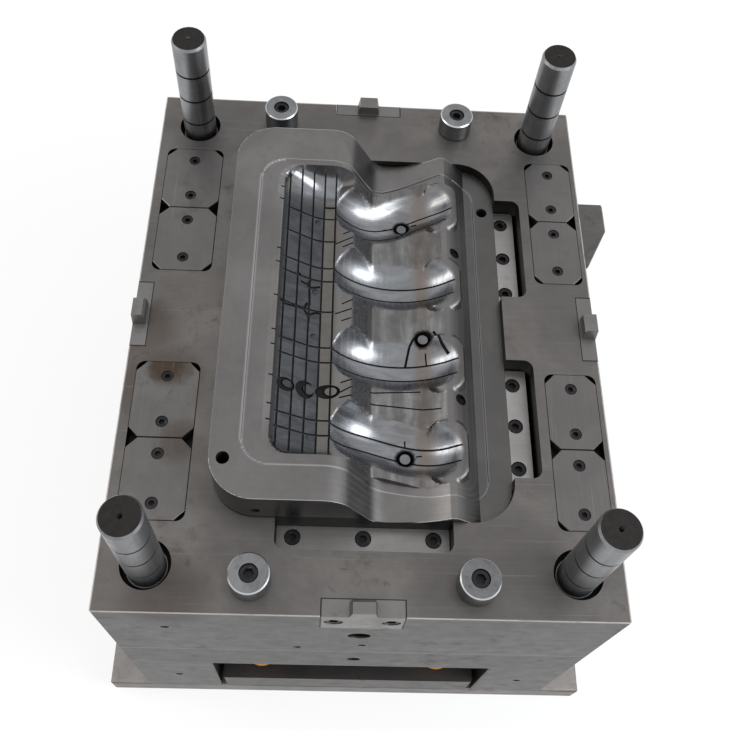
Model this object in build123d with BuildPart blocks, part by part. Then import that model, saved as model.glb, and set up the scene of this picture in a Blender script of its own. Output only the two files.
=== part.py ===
"""Moving half of an injection mould, in millimetres.

x runs across the mould, y along it and z up. The origin is the centre of the clamp plate's underside.
"""
from build123d import *
from math import cos, radians, sin, sqrt, tan
import os

# Plates
plate_width = 550.0
plate_length = 686.0
clamp_width = 660.0
clamp_thick = 40.0
spacer_width = 100.0
spacer_height = 170.0
support_thick = 90.0
moving_thick = 180.0
plate_chamfer = 1.5

# Ejector plates and their travel
stop_height = 5.0
base_thick = 35.0
retainer_thick = 25.0
side_gap = 7.0

# Fits, all radial
run_fit = 0.05
seat_fit = 0.05
free_fit = 0.5
rest_gap = 0.3
seam_gap = 0.25

# Guide pillars
pillar_x = 225.0
pillar_y = 294.0
pillar_d = 42.0
pillar_reach = 156.0
pillar_shoulder_d = 53.0
pillar_shoulder_drop = 12.0
pillar_head_d = 60.0
pillar_head_thick = 10.0
pillar_tip_chamfer = 4.0
pillar_grooves = (25.0, 67.0, 109.0)
pillar_groove_width = 3.0
pillar_groove_deep = 1.0
pillar_centre_d = 6.0
pillar_centre_deep = 10.0

# Return pins, their head pads and springs
return_x = 117.0
return_y = 308.0
return_d = 25.0
return_head_d = 32.0
return_head_thick = 8.0
pad_d = 43.0
pad_height = 28.0
pad_chamfer = 1.5
spring_outer_d = 45.0
spring_inner_d = 28.0
spring_turns = 6
spring_wire_height = 9.0
spring_pocket_d = 50.0
spring_pocket_deep = 30.0

# Ejector guide pins, support pillars and stop buttons
guide_x = 140.0
guide_y = 215.0
guide_d = 30.0
guide_head_d = 36.0
guide_head_thick = 8.0
guide_into_support = 40.0
bush_d = 42.0
bush_flange_d = 50.0
bush_flange_thick = 6.0
bush_proud = 10.0
post_x = 85.0
post_y = 80.0
post_d = 50.0
post_clear = 2.0
stop_x = 120.0
stop_y = 140.0
stop_d = 25.0
knockout_d = 50.0

# Core insert
insert_width = 330.0
insert_front = -241.5
insert_back = 247.5
insert_corner = 48.0
pocket_deep = 90.0
flange_top = 57.0

# Parting profile across the insert, heights from the parting face
brow_x = -48.0
brow_r = 35.0
brow_angle = 60.0
valley_x = 25.0
valley_low = -10.0
valley_r = 25.0
valley_wide_r = 117.4
ridge_x = 92.0
ridge_end_x = 99.0
strip_x = 127.0
strip_z = -13.0

# Moulding cavity: the trough on the left and the saddles between the runner channels
cavity_left = -112.0
cavity_front = -190.5
cavity_back = 190.8
cavity_corner = 25.0
ledge_width = 7.0
ledge_deep = 5.0
ledge_wall = 4.0
trough_low_x = -49.0
trough_low_z = 22.0
trough_r = 40.0
trough_angle = 33.0
trough_end_x = -37.0
step_x = -20.0
step_z = 29.0
saddle_deep = 2.5
saddle_step = 2.5
grid_lines = (-98.0, -83.5, -69.0, -55.0, -41.0)
grid_width = 2.0
grid_deep = 2.0
grid_inset = 6.0
cross_lines = (-156.0, -138.5, -0.6, 99.0, 132.5)

# Runner channels: four round channels that dip in an arc about an axis along y, with a flat land at the end
runner_y = (157.5, 54.5, -53.5, -154.0)
runner_turn = (12.0, 0.0, 0.0, -7.5)
runner_r = 37.0
runner_path_r = 54.5
runner_axis_x = 37.5
runner_axis_z = 69.2
runner_grooves = ((-3.0, -22.0), (5.3, -13.5), (5.3, -13.5), (7.0, -11.6))
runner_groove_width = 2.0
runner_groove_deep = 2.5
runner_land_left = 70.0
runner_land_right = 115.7
runner_land_half = 38.0
runner_land_corner = 20.0

# Recesses on the slope beside the runner channels
slope_recesses = ((109.0, 103.0), (109.0, -98.0))
slope_recess_d = 13.0
slope_recess_floor = -6.0

# Rings: core pin inside a sleeve ejector
ring_places = ((45.0, 152.5, -21.5), (67.7, -17.5, -6.0), (46.2, -163.5, -21.5))
core_pin_d = 12.0
sleeve_d = 20.0
sleeve_head_d = 27.0
sleeve_head_thick = 8.0
sleeve_drop = 9.0
core_pin_head_d = 18.0
core_pin_head_thick = 8.0
plug_thick = 16.0
plug_key = 9.0

# Ejector pins under the trough
ejector_pin_d = 8.0
ejector_pin_head_d = 14.0
ejector_pin_head_thick = 6.0
ejector_pin_x = -62.0
ejector_pin_y = (-160.0, -35.0, 25.0, 125.0)

# Wear plates: four pockets of two plates
wear_left = (-263.0, -190.0)
wear_right = (208.0, 268.7)
wear_back = (63.8, 253.3)
wear_front = (-248.3, -60.8)
wear_pocket_deep = 15.0
wear_pocket_corner = 10.0
wear_proud = 0.5
wear_chamfer = 12.0
wear_edge = 0.7
wear_screw_pitch = 56.0
wear_tap_deep = 20.0
wear_screw_length = 20.0

# Side locks in the middle of each side
lock_length = 88.0
lock_thick = 19.0
lock_deep = 50.0
lock_tongue = 29.0
lock_tongue_height = 16.0
lock_flank = 3.0
lock_inset = 4.0
lock_screw_pitch = 60.0
lock_screw_z = -23.0
lock_shift_y = 2.0
lock_tap_deep = 26.0

# Wedge blocks that press the insert home
wedge_top = -27.0
wedge_tap_deep = 35.0
wedge_end_gap = 0.3
front_recess_length = 190.0
front_recess_width = 33.5
front_screw_in = 12.5
side_recess_length = 146.0
side_recess_width = 31.5
side_recess_inside = 20.0
side_wedge_y = 116.5
side_screw_in = 11.2
wedge_clear = 4.0
wedge_corner = 11.0
front_screw_pitch = 76.5
side_screw_pitch = 52.4

# Block on the right-hand face
side_block_y = 190.0
side_block_width = 44.0
side_block_reach = 43.0
side_block_height = 90.0
side_block_top = -30.0
side_block_tap_deep = 30.0
side_block_edge = 2.0

# Cap screws: thread size, head diameter and height follow the metric series
m8 = dict(d=8.0, head_d=13.0, head_h=8.0, bore_d=14.0, key=6.0)
m10 = dict(d=10.0, head_d=16.0, head_h=10.0, bore_d=18.0, key=8.0)
m12 = dict(d=12.0, head_d=18.0, head_h=12.0, bore_d=20.0, key=10.0)
m16 = dict(d=16.0, head_d=24.0, head_h=16.0, bore_d=26.0, key=14.0)
m20 = dict(d=20.0, head_d=30.0, head_h=20.0, bore_d=33.0, key=17.0)
head_sink = 1.0
clamp_screw_length = 310.0
insert_screw_length = 95.0
post_screw_length = 50.0
ejector_screw_length = 40.0
lock_screw_length = 25.0
wedge_screw_length = 80.0
side_block_screw_length = 55.0
pad_screw_length = 35.0
pad_screw_sink = 2.0
tap_spare = 4.0

# Screw places
clamp_screw_x = 225.0
clamp_screw_y = (-190.0, 0.0, 190.0)
insert_screw_x = 125.0
insert_screw_y = (-170.0, 175.0)
ejector_screw_x = 155.0
ejector_screw_y = 290.0

# Handling holes
eyebolt_d = 26.0
eyebolt_deep = 55.0
eyebolt_z = -89.0
small_hole_d = 10.0
small_hole_deep = 25.0
small_holes = ((5.5, -140.0), (-68.0, -158.0), (-207.6, -63.6))
spacer_hole_z = 125.0
lift_hole_d = 14.0
lift_hole_deep = 30.0
lift_holes = ((-150.0, -198.0), (149.5, 178.0))
insert_hole_x = -115.0
insert_hole_z = 21.0

# Levels worked out from the plates
spacer_z = clamp_thick
support_z = spacer_z + spacer_height
moving_z = support_z + support_thick
part_z = moving_z + moving_thick
base_z = clamp_thick + stop_height
retainer_z = base_z + base_thick
ejector_top = retainer_z + retainer_thick
pocket_z = part_z - pocket_deep
half_w = plate_width / 2
half_l = plate_length / 2
ejector_half = half_w - spacer_width - side_gap
spring_roof = support_z + spring_pocket_deep
sides = (-1, 1)
corners = [(i * 1.0, j * 1.0) for i in sides for j in sides]
names = {(-1, -1): "front_left", (-1, 1): "back_left", (1, -1): "front_right", (1, 1): "back_right"}

os.makedirs("parts", exist_ok=True)


def save(piece, name):
    piece.label = name
    export_step(piece, f"parts/{name}.step")


def four(x, y):
    return [(i * x, j * y) for i, j in corners]


def screw_part(size, length):
    """One cap screw, head up, with the underside of its head at the origin."""
    with BuildPart() as one:
        with BuildSketch():
            Circle(size["head_d"] / 2)
        extrude(amount=size["head_h"])
        with BuildSketch(Plane.XY.offset(size["head_h"])):
            RegularPolygon(size["key"] / 2, 6, major_radius=False)
        extrude(amount=-size["head_h"] / 2, mode=Mode.SUBTRACT)
        with BuildSketch(Plane.XY.offset(-length)):
            Circle(size["d"] / 2 - seat_fit)
        extrude(amount=length)
    return one.part


def wear_screws(x0, x1, low, half):
    """Screw places of one wear plate, on its top face."""
    mid = low + half / 2
    return [((x0 + x1) / 2, mid + k * wear_screw_pitch / 2, part_z + wear_proud) for k in sides]


ridge_z = valley_low + valley_wide_r - sqrt(valley_wide_r ** 2 - (ridge_x - valley_x) ** 2)
trough_bend_x = trough_low_x - trough_r * sin(radians(trough_angle))
trough_bend_z = trough_low_z + trough_r * (1 - cos(radians(trough_angle)))
brow_low = (
    brow_x + brow_r * sin(radians(brow_angle)),
    flange_top - brow_r + brow_r * cos(radians(brow_angle)),
)
toe = (
    valley_x - valley_r * sin(radians(brow_angle)),
    valley_low + valley_r - valley_r * cos(radians(brow_angle)),
)
far_above = flange_top + 60.0


lock_frames = {
    "front": Location((0, -half_l, part_z), (0, 0, 180)),
    "back": Location((0, half_l, part_z), (0, 0, 0)),
    "left": Location((-half_w, lock_shift_y, part_z), (0, 0, 90)),
    "right": Location((half_w, lock_shift_y, part_z), (0, 0, -90)),
}
facing_out = (-90, 0, 0)
wedge_frames = {
    "front": (Location((0, insert_front, part_z), (0, 0, 180)), "front"),
    "right_front": (Location((insert_width / 2, -side_wedge_y, part_z), (0, 0, -90)), "side"),
    "right_back": (Location((insert_width / 2, side_wedge_y, part_z), (0, 0, -90)), "side"),
}
wedge_sizes = {
    "front": dict(length=front_recess_length, width=front_recess_width, pitch=front_screw_pitch, at=front_screw_in),
    "side": dict(length=side_recess_length, width=side_recess_width, pitch=side_screw_pitch, at=side_screw_in),
}
side_block_frame = Location((half_w, side_block_y, part_z + side_block_top), (0, 0, -90))
side_block_holes = [-side_block_height / 4, -3 * side_block_height / 4]


def across(y):
    """Sketch plane across the mould at y, x to the right and z up from the parting face, facing the front."""
    return Plane(origin=(0, y, part_z), x_dir=(1, 0, 0), z_dir=(0, -1, 0))


# Clamp plate
with BuildPart() as clamp_plate:
    with BuildSketch():
        Rectangle(clamp_width, plate_length)
    extrude(amount=clamp_thick)
    chamfer(clamp_plate.edges().filter_by(Axis.Z), plate_chamfer)
    chamfer(clamp_plate.faces().sort_by(Axis.Z)[-1].edges(), plate_chamfer)
    Hole(knockout_d / 2)
    with Locations(Plane.XY.rotated((180, 0, 0))):
        with Locations(*[(i * clamp_screw_x, y) for i in sides for y in clamp_screw_y]):
            CounterBoreHole(m20["d"] / 2 + free_fit, m20["bore_d"] / 2, m20["head_h"] + head_sink)
        with Locations(*four(post_x, post_y)):
            CounterBoreHole(m12["d"] / 2 + free_fit, m12["bore_d"] / 2, m12["head_h"] + head_sink)
        with Locations(*four(guide_x, guide_y)):
            CounterBoreHole(guide_d / 2 + seat_fit, guide_head_d / 2 + free_fit, guide_head_thick)
        with Locations(*[(x, -y) for x, y, z in ring_places]):
            CounterBoreHole(
                core_pin_d / 2 + free_fit,
                core_pin_head_d / 2 + free_fit,
                core_pin_head_thick + plug_thick,
            )
save(clamp_plate.part, "clamp_plate")

# Spacer blocks
for side, word in ((-1, "left"), (1, "right")):
    spacer_x = side * (half_w - spacer_width / 2)
    with BuildPart() as spacer:
        with BuildSketch(Plane.XY.offset(spacer_z)):
            with Locations((spacer_x, 0)):
                Rectangle(spacer_width, plate_length)
        extrude(amount=spacer_height)
        chamfer(spacer.edges().filter_by(Axis.Z), plate_chamfer)
        with Locations(*[(side * clamp_screw_x, y, support_z) for y in clamp_screw_y]):
            Hole(m20["d"] / 2 + free_fit)
        for end in sides:
            with Locations(Plane(origin=(side * clamp_screw_x, end * half_l, spacer_hole_z), z_dir=(0, end, 0))):
                Hole(small_hole_d / 2, depth=small_hole_deep)
    save(spacer.part, f"spacer_block_{word}")

# Support plate
with BuildPart() as support_plate:
    with BuildSketch(Plane.XY.offset(support_z)):
        Rectangle(plate_width, plate_length)
    extrude(amount=support_thick)
    chamfer(support_plate.edges().filter_by(Axis.Z), plate_chamfer)
    with Locations(Plane.XY.offset(moving_z)):
        with Locations(*[(i * clamp_screw_x, y) for i in sides for y in clamp_screw_y]):
            Hole(m20["d"] / 2 + free_fit)
        with Locations(*four(return_x, return_y)):
            Hole(return_d / 2 + free_fit)
        with Locations(*[(x, y) for x, y, z in ring_places]):
            Hole(sleeve_d / 2 + free_fit)
        with Locations(*[(ejector_pin_x, y) for y in ejector_pin_y]):
            Hole(ejector_pin_d / 2 + free_fit)
    with Locations(Plane.XY.offset(support_z).rotated((180, 0, 0))):
        with Locations(*four(return_x, return_y)):
            Hole(spring_pocket_d / 2, depth=spring_pocket_deep)
        with Locations(*four(guide_x, guide_y)):
            Hole(guide_d / 2 + seat_fit, depth=guide_into_support)
    for end in sides:
        with Locations(Plane(origin=(0, end * half_l, support_z + support_thick / 2), z_dir=(0, end, 0))):
            Hole(m16["d"] / 2, depth=eyebolt_deep)
save(support_plate.part, "support_plate")

# Moving plate with the pockets for what it carries
with BuildPart() as moving_plate:
    with BuildSketch(Plane.XY.offset(moving_z)):
        Rectangle(plate_width, plate_length)
    extrude(amount=moving_thick)
    chamfer(moving_plate.edges().filter_by(Axis.Z), plate_chamfer)
    insert_mid = (insert_front + insert_back) / 2
    with BuildSketch(Plane.XY.offset(part_z)):
        with Locations((0, insert_mid)):
            RectangleRounded(insert_width, insert_back - insert_front, insert_corner)
    extrude(amount=-pocket_deep, mode=Mode.SUBTRACT)
    with BuildSketch(Plane.XY.offset(part_z)) as front_recess:
        with Locations((0, insert_front - front_recess_width / 2 + insert_corner / 2)):
            Rectangle(front_recess_length, front_recess_width + insert_corner)
        fillet(front_recess.vertices().group_by(Axis.Y)[0], wedge_corner)
    extrude(amount=-pocket_deep, mode=Mode.SUBTRACT)
    with BuildSketch(Plane.XY.offset(part_z)) as side_recess:
        with Locations(*[(insert_width / 2 + (side_recess_width - side_recess_inside) / 2, i * side_wedge_y) for i in sides]):
            Rectangle(side_recess_width + side_recess_inside, side_recess_length)
        fillet(side_recess.vertices().group_by(Axis.X)[-1], wedge_corner)
    extrude(amount=-pocket_deep, mode=Mode.SUBTRACT)
    for x0, x1 in (wear_left, wear_right):
        for y0, y1 in (wear_front, wear_back):
            with BuildSketch(Plane.XY.offset(part_z)):
                with Locations(((x0 + x1) / 2, (y0 + y1) / 2)):
                    RectangleRounded(x1 - x0, y1 - y0, wear_pocket_corner)
            extrude(amount=-wear_pocket_deep, mode=Mode.SUBTRACT)
    for end in sides:
        with BuildSketch(Plane.XY.offset(part_z)):
            with Locations((0, end * (half_l - lock_thick / 2))):
                Rectangle(lock_length, lock_thick)
            with Locations((end * (half_w - lock_thick / 2), lock_shift_y)):
                Rectangle(lock_thick, lock_length)
        extrude(amount=-lock_deep, mode=Mode.SUBTRACT)
    with Locations(Plane.XY.offset(part_z)):
        with Locations(*four(pillar_x, pillar_y)):
            Hole(pillar_shoulder_d / 2 + seat_fit)
        with Locations(*four(return_x, return_y)):
            Hole(return_d / 2 + run_fit)
        with Locations(*[(x, y) for x, y, z in ring_places]):
            Hole(sleeve_d / 2 + free_fit)
        with Locations(*[(ejector_pin_x, y) for y in ejector_pin_y]):
            Hole(ejector_pin_d / 2 + free_fit)
    with Locations(Plane.XY.offset(moving_z).rotated((180, 0, 0))):
        with Locations(*four(pillar_x, pillar_y)):
            Hole(pillar_head_d / 2 + free_fit, depth=pillar_head_thick)
        with Locations(*[(i * insert_screw_x, -y) for i in sides for y in insert_screw_y]):
            CounterBoreHole(m16["d"] / 2 + free_fit, m16["bore_d"] / 2, m16["head_h"] + head_sink)
        with Locations(*[(i * clamp_screw_x, y) for i in sides for y in clamp_screw_y]):
            Hole(m20["d"] / 2, depth=m20["d"] * 2)
    for end in sides:
        with Locations(Plane(origin=(0, end * half_l, part_z + eyebolt_z), z_dir=(0, end, 0))):
            Hole(eyebolt_d / 2, depth=eyebolt_deep)
    for x, z in small_holes:
        with Locations(Plane(origin=(x, -half_l, part_z + z), z_dir=(0, -1, 0))):
            Hole(small_hole_d / 2, depth=small_hole_deep)
    for frame in lock_frames.values():
        for k in sides:
            with Locations(frame * Location((k * lock_screw_pitch / 2, -lock_thick, lock_screw_z), facing_out)):
                Hole(m12["d"] / 2, depth=lock_tap_deep)
    for frame, kind in wedge_frames.values():
        size = wedge_sizes[kind]
        for k in (-1, 0, 1):
            with Locations(frame * Location((k * size["pitch"], size["at"], -pocket_deep))):
                Hole(m10["d"] / 2, depth=wedge_tap_deep)
    for z in side_block_holes:
        with Locations(side_block_frame * Location((0, 0, z), facing_out)):
            Hole(m10["d"] / 2, depth=side_block_tap_deep)
    for x0, x1 in (wear_left, wear_right):
        for y0, y1 in (wear_front, wear_back):
            half = (y1 - y0) / 2
            for low in (y0, y0 + half):
                for x, y, z in wear_screws(x0, x1, low, half):
                    with Locations((x, y, part_z - wear_pocket_deep)):
                        Hole(m8["d"] / 2, depth=wear_tap_deep)
save(moving_plate.part, "moving_plate")

# Core insert: block, parting profile, cavity, runner channels, grooves and bores
def trough_z(x):
    """Height of the trough's floor above the parting face: a straight slope, then an arc to its low line."""
    if x < trough_bend_x:
        return trough_bend_z + (trough_bend_x - x) * tan(radians(trough_angle))
    return trough_low_z + trough_r - sqrt(trough_r ** 2 - (x - trough_low_x) ** 2)


def cross_groove(y):
    """Cutter for one groove across the trough, as deep below its floor everywhere."""
    x_from, x_to = grid_lines[0], grid_lines[-1]
    with BuildPart() as piece:
        with BuildSketch(across(y + grid_width)):
            with BuildLine():
                slope = Line(
                    (x_from, trough_z(x_from) - grid_deep),
                    (trough_bend_x, trough_bend_z - grid_deep),
                )
                bend = ThreePointArc(
                    slope @ 1,
                    (trough_low_x, trough_low_z - grid_deep),
                    (x_to, trough_z(x_to) - grid_deep),
                )
                Polyline(bend @ 1, (x_to, flange_top), (x_from, flange_top), slope @ 0)
            make_face()
        extrude(amount=grid_width)
    return piece.part


def runner(grooves):
    """Cutter for one runner channel about its axis along y, at y = 0, with its grooves."""
    section = Plane(origin=(runner_axis_x, 0, part_z + runner_axis_z), x_dir=(0, 1, 0), z_dir=(1, 0, 0))
    with BuildPart() as cutter:
        with BuildSketch(section):
            with Locations((0, -runner_path_r)):
                Circle(runner_r)
        revolve(axis=Axis((runner_axis_x, 0, part_z + runner_axis_z), (0, 1, 0)))
        for offset in grooves:
            groove_r = runner_path_r + sqrt(runner_r ** 2 - offset ** 2) + runner_groove_deep
            with Locations(Location((runner_axis_x, offset, part_z + runner_axis_z), (90, 0, 0))):
                Cylinder(groove_r, runner_groove_width)
    return cutter.part


saddle_low_z = valley_low - saddle_deep
saddle_end_z = ridge_z - saddle_step

with BuildPart() as cavity:
    with BuildSketch(across(insert_back)):
        with BuildLine():
            ledge_z = flange_top - ledge_deep
            trough_left = cavity_left + ledge_width
            wall_foot = trough_left + ledge_wall
            ledge = Polyline(
                (wall_foot, trough_z(wall_foot)),
                (trough_left, ledge_z),
                (cavity_left, ledge_z),
                (cavity_left, far_above),
                (ridge_x, far_above),
                (ridge_x, saddle_end_z),
            )
            wide = TangentArc((valley_x, saddle_low_z), ledge @ 1, tangent=(1, 0))
            slope_low = (
                valley_x - valley_r * sin(radians(brow_angle)),
                saddle_low_z + valley_r - valley_r * cos(radians(brow_angle)),
            )
            TangentArc((valley_x, saddle_low_z), slope_low, tangent=(-1, 0))
            step = Polyline(slope_low, (step_x, step_z), (trough_end_x, trough_z(trough_end_x)))
            low = ThreePointArc(step @ 1, (trough_low_x, trough_low_z), (trough_bend_x, trough_bend_z))
            Line(low @ 1, ledge @ 0)
        make_face()
    extrude(amount=insert_back - insert_front)
    with BuildSketch(Plane.XY.offset(pocket_z)):
        with Locations(((cavity_left + ridge_x) / 2, (cavity_front + cavity_back) / 2)):
            RectangleRounded(ridge_x - cavity_left, cavity_back - cavity_front, cavity_corner)
    extrude(amount=part_z + 2 * far_above - pocket_z, mode=Mode.INTERSECT)

with BuildPart() as core_insert:
    with BuildSketch(Plane.XY.offset(pocket_z)):
        with Locations((0, insert_mid)):
            RectangleRounded(
                insert_width - 2 * seat_fit,
                insert_back - insert_front - 2 * seat_fit,
                insert_corner,
            )
    extrude(amount=pocket_deep + flange_top)
    with BuildSketch(across(insert_back)):
        with BuildLine():
            brow = TangentArc((brow_x, flange_top), brow_low, tangent=(1, 0))
            Line(brow @ 1, toe)
            TangentArc((valley_x, valley_low), toe, tangent=(-1, 0))
            TangentArc((valley_x, valley_low), (ridge_x, ridge_z), tangent=(1, 0))
            Polyline(
                (ridge_x, ridge_z),
                (ridge_end_x, ridge_z),
                (strip_x, strip_z),
                (insert_width / 2, strip_z),
                (insert_width / 2, far_above),
                (brow_x, far_above),
                (brow_x, flange_top),
            )
        make_face()
    extrude(amount=insert_back - insert_front, mode=Mode.SUBTRACT)
    with BuildSketch(Plane.XY.offset(part_z + strip_z)):
        for y, turn in zip(runner_y, runner_turn):
            with Locations(Location((runner_axis_x, y, 0), (0, 0, turn))):
                with Locations(((runner_land_left + runner_land_right) / 2 - runner_axis_x, 0)):
                    RectangleRounded(runner_land_right - runner_land_left, 2 * runner_land_half, runner_land_corner)
    extrude(amount=ridge_z - strip_z)
    add(cavity.part, mode=Mode.SUBTRACT)
    for x in grid_lines:
        with BuildSketch(Plane.XY.offset(part_z + trough_z(x) - grid_deep)):
            with Locations((x, (cavity_front + cavity_back) / 2)):
                Rectangle(grid_width, cavity_back - cavity_front - 2 * grid_inset)
        extrude(amount=flange_top - trough_z(x), mode=Mode.SUBTRACT)
    run_on = tuple(y + offset for y, grooves in zip(runner_y[1:3], runner_grooves[1:3]) for offset in grooves)
    for y in cross_lines + run_on:
        add(cross_groove(y), mode=Mode.SUBTRACT)
    for y, turn, grooves in zip(runner_y, runner_turn, runner_grooves):
        with Locations(Location((runner_axis_x, y, 0), (0, 0, turn)) * Location((-runner_axis_x, 0, 0))):
            add(runner(grooves), mode=Mode.SUBTRACT)
    with BuildSketch(Plane.XY.offset(part_z + slope_recess_floor)):
        with Locations(*slope_recesses):
            Circle(slope_recess_d / 2)
    extrude(amount=far_above - slope_recess_floor, mode=Mode.SUBTRACT)
    for x, y, z in ring_places:
        with Locations((x, y, part_z)):
            Hole(sleeve_d / 2 + run_fit)
    with Locations(*[(ejector_pin_x, y, part_z) for y in ejector_pin_y]):
        Hole(ejector_pin_d / 2 + run_fit)
    with Locations(Plane.XY.offset(pocket_z).rotated((180, 0, 0))):
        with Locations(*[(i * insert_screw_x, -y) for i in sides for y in insert_screw_y]):
            Hole(m16["d"] / 2, depth=m16["d"] * 2)
    with Locations((lift_holes[0][0], lift_holes[0][1], part_z + flange_top)):
        Hole(lift_hole_d / 2, depth=lift_hole_deep)
    with Locations((lift_holes[1][0], lift_holes[1][1], part_z + strip_z)):
        Hole(lift_hole_d / 2, depth=lift_hole_deep)
    with Locations(Location((insert_hole_x, insert_front + seat_fit, part_z + insert_hole_z), (90, 0, 0))):
        Hole(small_hole_d / 2, depth=small_hole_deep)
save(core_insert.part, "core_insert")

# Guide pillars
for i, j in corners:
    with BuildPart() as pillar:
        with BuildSketch(Plane(origin=(i * pillar_x, j * pillar_y, moving_z), x_dir=(1, 0, 0), z_dir=(0, -1, 0))):
            with BuildLine():
                shoulder_top = moving_thick - pillar_shoulder_drop
                tip = moving_thick + pillar_reach
                outline = [
                    (0, 0),
                    (pillar_head_d / 2, 0),
                    (pillar_head_d / 2, pillar_head_thick),
                    (pillar_shoulder_d / 2, pillar_head_thick),
                    (pillar_shoulder_d / 2, shoulder_top),
                    (pillar_d / 2, shoulder_top),
                ]
                for height in pillar_grooves:
                    low = moving_thick + height - pillar_groove_width / 2
                    high = low + pillar_groove_width
                    outline += [
                        (pillar_d / 2, low),
                        (pillar_d / 2 - pillar_groove_deep, low),
                        (pillar_d / 2 - pillar_groove_deep, high),
                        (pillar_d / 2, high),
                    ]
                outline += [
                    (pillar_d / 2, tip - pillar_tip_chamfer),
                    (pillar_d / 2 - pillar_tip_chamfer / 2, tip),
                    (pillar_centre_d / 2, tip),
                    (0, tip - pillar_centre_deep),
                    (0, 0),
                ]
                Polyline(*outline)
            make_face()
        revolve(axis=Axis((i * pillar_x, j * pillar_y, 0), (0, 0, 1)))
    save(pillar.part, f"guide_pillar_{names[(int(i), int(j))]}")

# Wear plates: two to a pocket, with cut corners
for side, (x0, x1) in (("left", wear_left), ("right", wear_right)):
    for row, (y0, y1) in (("front", wear_front), ("back", wear_back)):
        half = (y1 - y0) / 2
        for number in (1, 2):
            low = y0 + (number - 1) * half
            with BuildPart() as wear:
                with BuildSketch(Plane.XY.offset(part_z - wear_pocket_deep)) as outline:
                    with Locations(((x0 + x1) / 2, low + half / 2)):
                        Rectangle(x1 - x0 - 2 * seam_gap, half - 2 * seam_gap)
                    chamfer(outline.vertices(), wear_chamfer)
                extrude(amount=wear_pocket_deep + wear_proud)
                chamfer(wear.faces().sort_by(Axis.Z)[-1].edges(), wear_edge)
                with Locations(*wear_screws(x0, x1, low, half)):
                    CounterBoreHole(m8["d"] / 2 + free_fit, m8["bore_d"] / 2, m8["head_h"] + head_sink)
            save(wear.part, f"wear_plate_{side}_{row}_{number}")

# Side locks: a block let into each side with a raised tongue
for word, frame in lock_frames.items():
    with BuildPart() as lock:
        with BuildSketch(Plane.XZ) as face:
            with Locations((0, -lock_deep / 2)):
                Rectangle(lock_length - 2 * seam_gap, lock_deep)
        extrude(amount=lock_thick)
        with BuildSketch(Plane.XZ):
            with BuildLine():
                Polyline(
                    (-lock_tongue / 2, 0),
                    (lock_tongue / 2, 0),
                    (lock_tongue / 2 - lock_flank, lock_tongue_height),
                    (lock_flank - lock_tongue / 2, lock_tongue_height),
                    (-lock_tongue / 2, 0),
                )
            make_face()
        extrude(amount=lock_thick - lock_inset)
        top = lock.faces().sort_by(Axis.Z)[-1]
        chamfer(top.edges().sort_by(Axis.Y)[0], lock_flank)
        for k in sides:
            with Locations(Location((k * lock_screw_pitch / 2, 0, lock_screw_z), facing_out)):
                CounterBoreHole(m12["d"] / 2 + free_fit, m12["bore_d"] / 2, m12["head_h"] + head_sink)
    with BuildPart() as placed:
        with Locations(frame):
            add(lock.part)
    save(placed.part, f"side_lock_{word}")

# Wedge blocks
for word, (frame, kind) in wedge_frames.items():
    size = wedge_sizes[kind]
    with BuildPart() as wedge:
        with BuildSketch(Plane.XY.offset(-pocket_deep)) as plan:
            with Locations((0, size["width"] / 2)):
                Rectangle(size["length"] - 2 * wedge_end_gap, size["width"] - wedge_end_gap)
            fillet(plan.vertices().group_by(Axis.Y)[-1], wedge_corner)
        extrude(amount=pocket_deep + wedge_top)
        with BuildSketch(Plane.YZ.offset(-size["length"])):
            with BuildLine():
                Polyline(
                    (size["width"], -pocket_deep),
                    (size["width"], 0),
                    (size["width"] - wedge_clear, 0),
                    (size["width"] - wedge_clear, wedge_top),
                    (size["width"], -pocket_deep),
                )
            make_face()
        extrude(amount=2 * size["length"], mode=Mode.SUBTRACT)
        with Locations(*[(k * size["pitch"], size["at"], wedge_top) for k in (-1, 0, 1)]):
            CounterBoreHole(m10["d"] / 2 + free_fit, m10["bore_d"] / 2, m10["head_h"] + head_sink)
    with BuildPart() as placed:
        with Locations(frame):
            add(wedge.part)
    save(placed.part, f"wedge_block_{word}")

# Block on the right-hand face
with BuildPart() as side_block:
    with BuildSketch(Plane.XZ):
        with Locations((0, -side_block_height / 2)):
            Rectangle(side_block_width, side_block_height)
    extrude(amount=-side_block_reach)
    chamfer(side_block.faces().sort_by(Axis.Y)[-1].edges(), side_block_edge)
    for z in side_block_holes:
        with Locations(Location((0, side_block_reach, z), facing_out)):
            CounterBoreHole(m10["d"] / 2 + free_fit, m10["bore_d"] / 2, m10["head_h"] + head_sink)
with BuildPart() as placed:
    with Locations(side_block_frame):
        add(side_block.part)
save(placed.part, "side_block")

# Support pillars, stop buttons and ejector guide pins
with BuildPart() as posts:
    with BuildSketch(Plane.XY.offset(clamp_thick)):
        with Locations(*four(post_x, post_y)):
            Circle(post_d / 2)
    extrude(amount=spacer_height)
    with Locations(Plane.XY.offset(clamp_thick).rotated((180, 0, 0))):
        with Locations(*four(post_x, post_y)):
            Hole(m12["d"] / 2, depth=post_screw_length)
save(posts.part, "support_pillars")

with BuildPart() as stops:
    with BuildSketch(Plane.XY.offset(clamp_thick)):
        with Locations(*four(stop_x, stop_y)):
            Circle(stop_d / 2)
    extrude(amount=stop_height)
save(stops.part, "stop_buttons")

with BuildPart() as guide_pins:
    with BuildSketch():
        with Locations(*four(guide_x, guide_y)):
            Circle(guide_head_d / 2)
    extrude(amount=guide_head_thick)
    with BuildSketch():
        with Locations(*four(guide_x, guide_y)):
            Circle(guide_d / 2)
    extrude(amount=support_z + guide_into_support)
save(guide_pins.part, "ejector_guide_pins")

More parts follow.
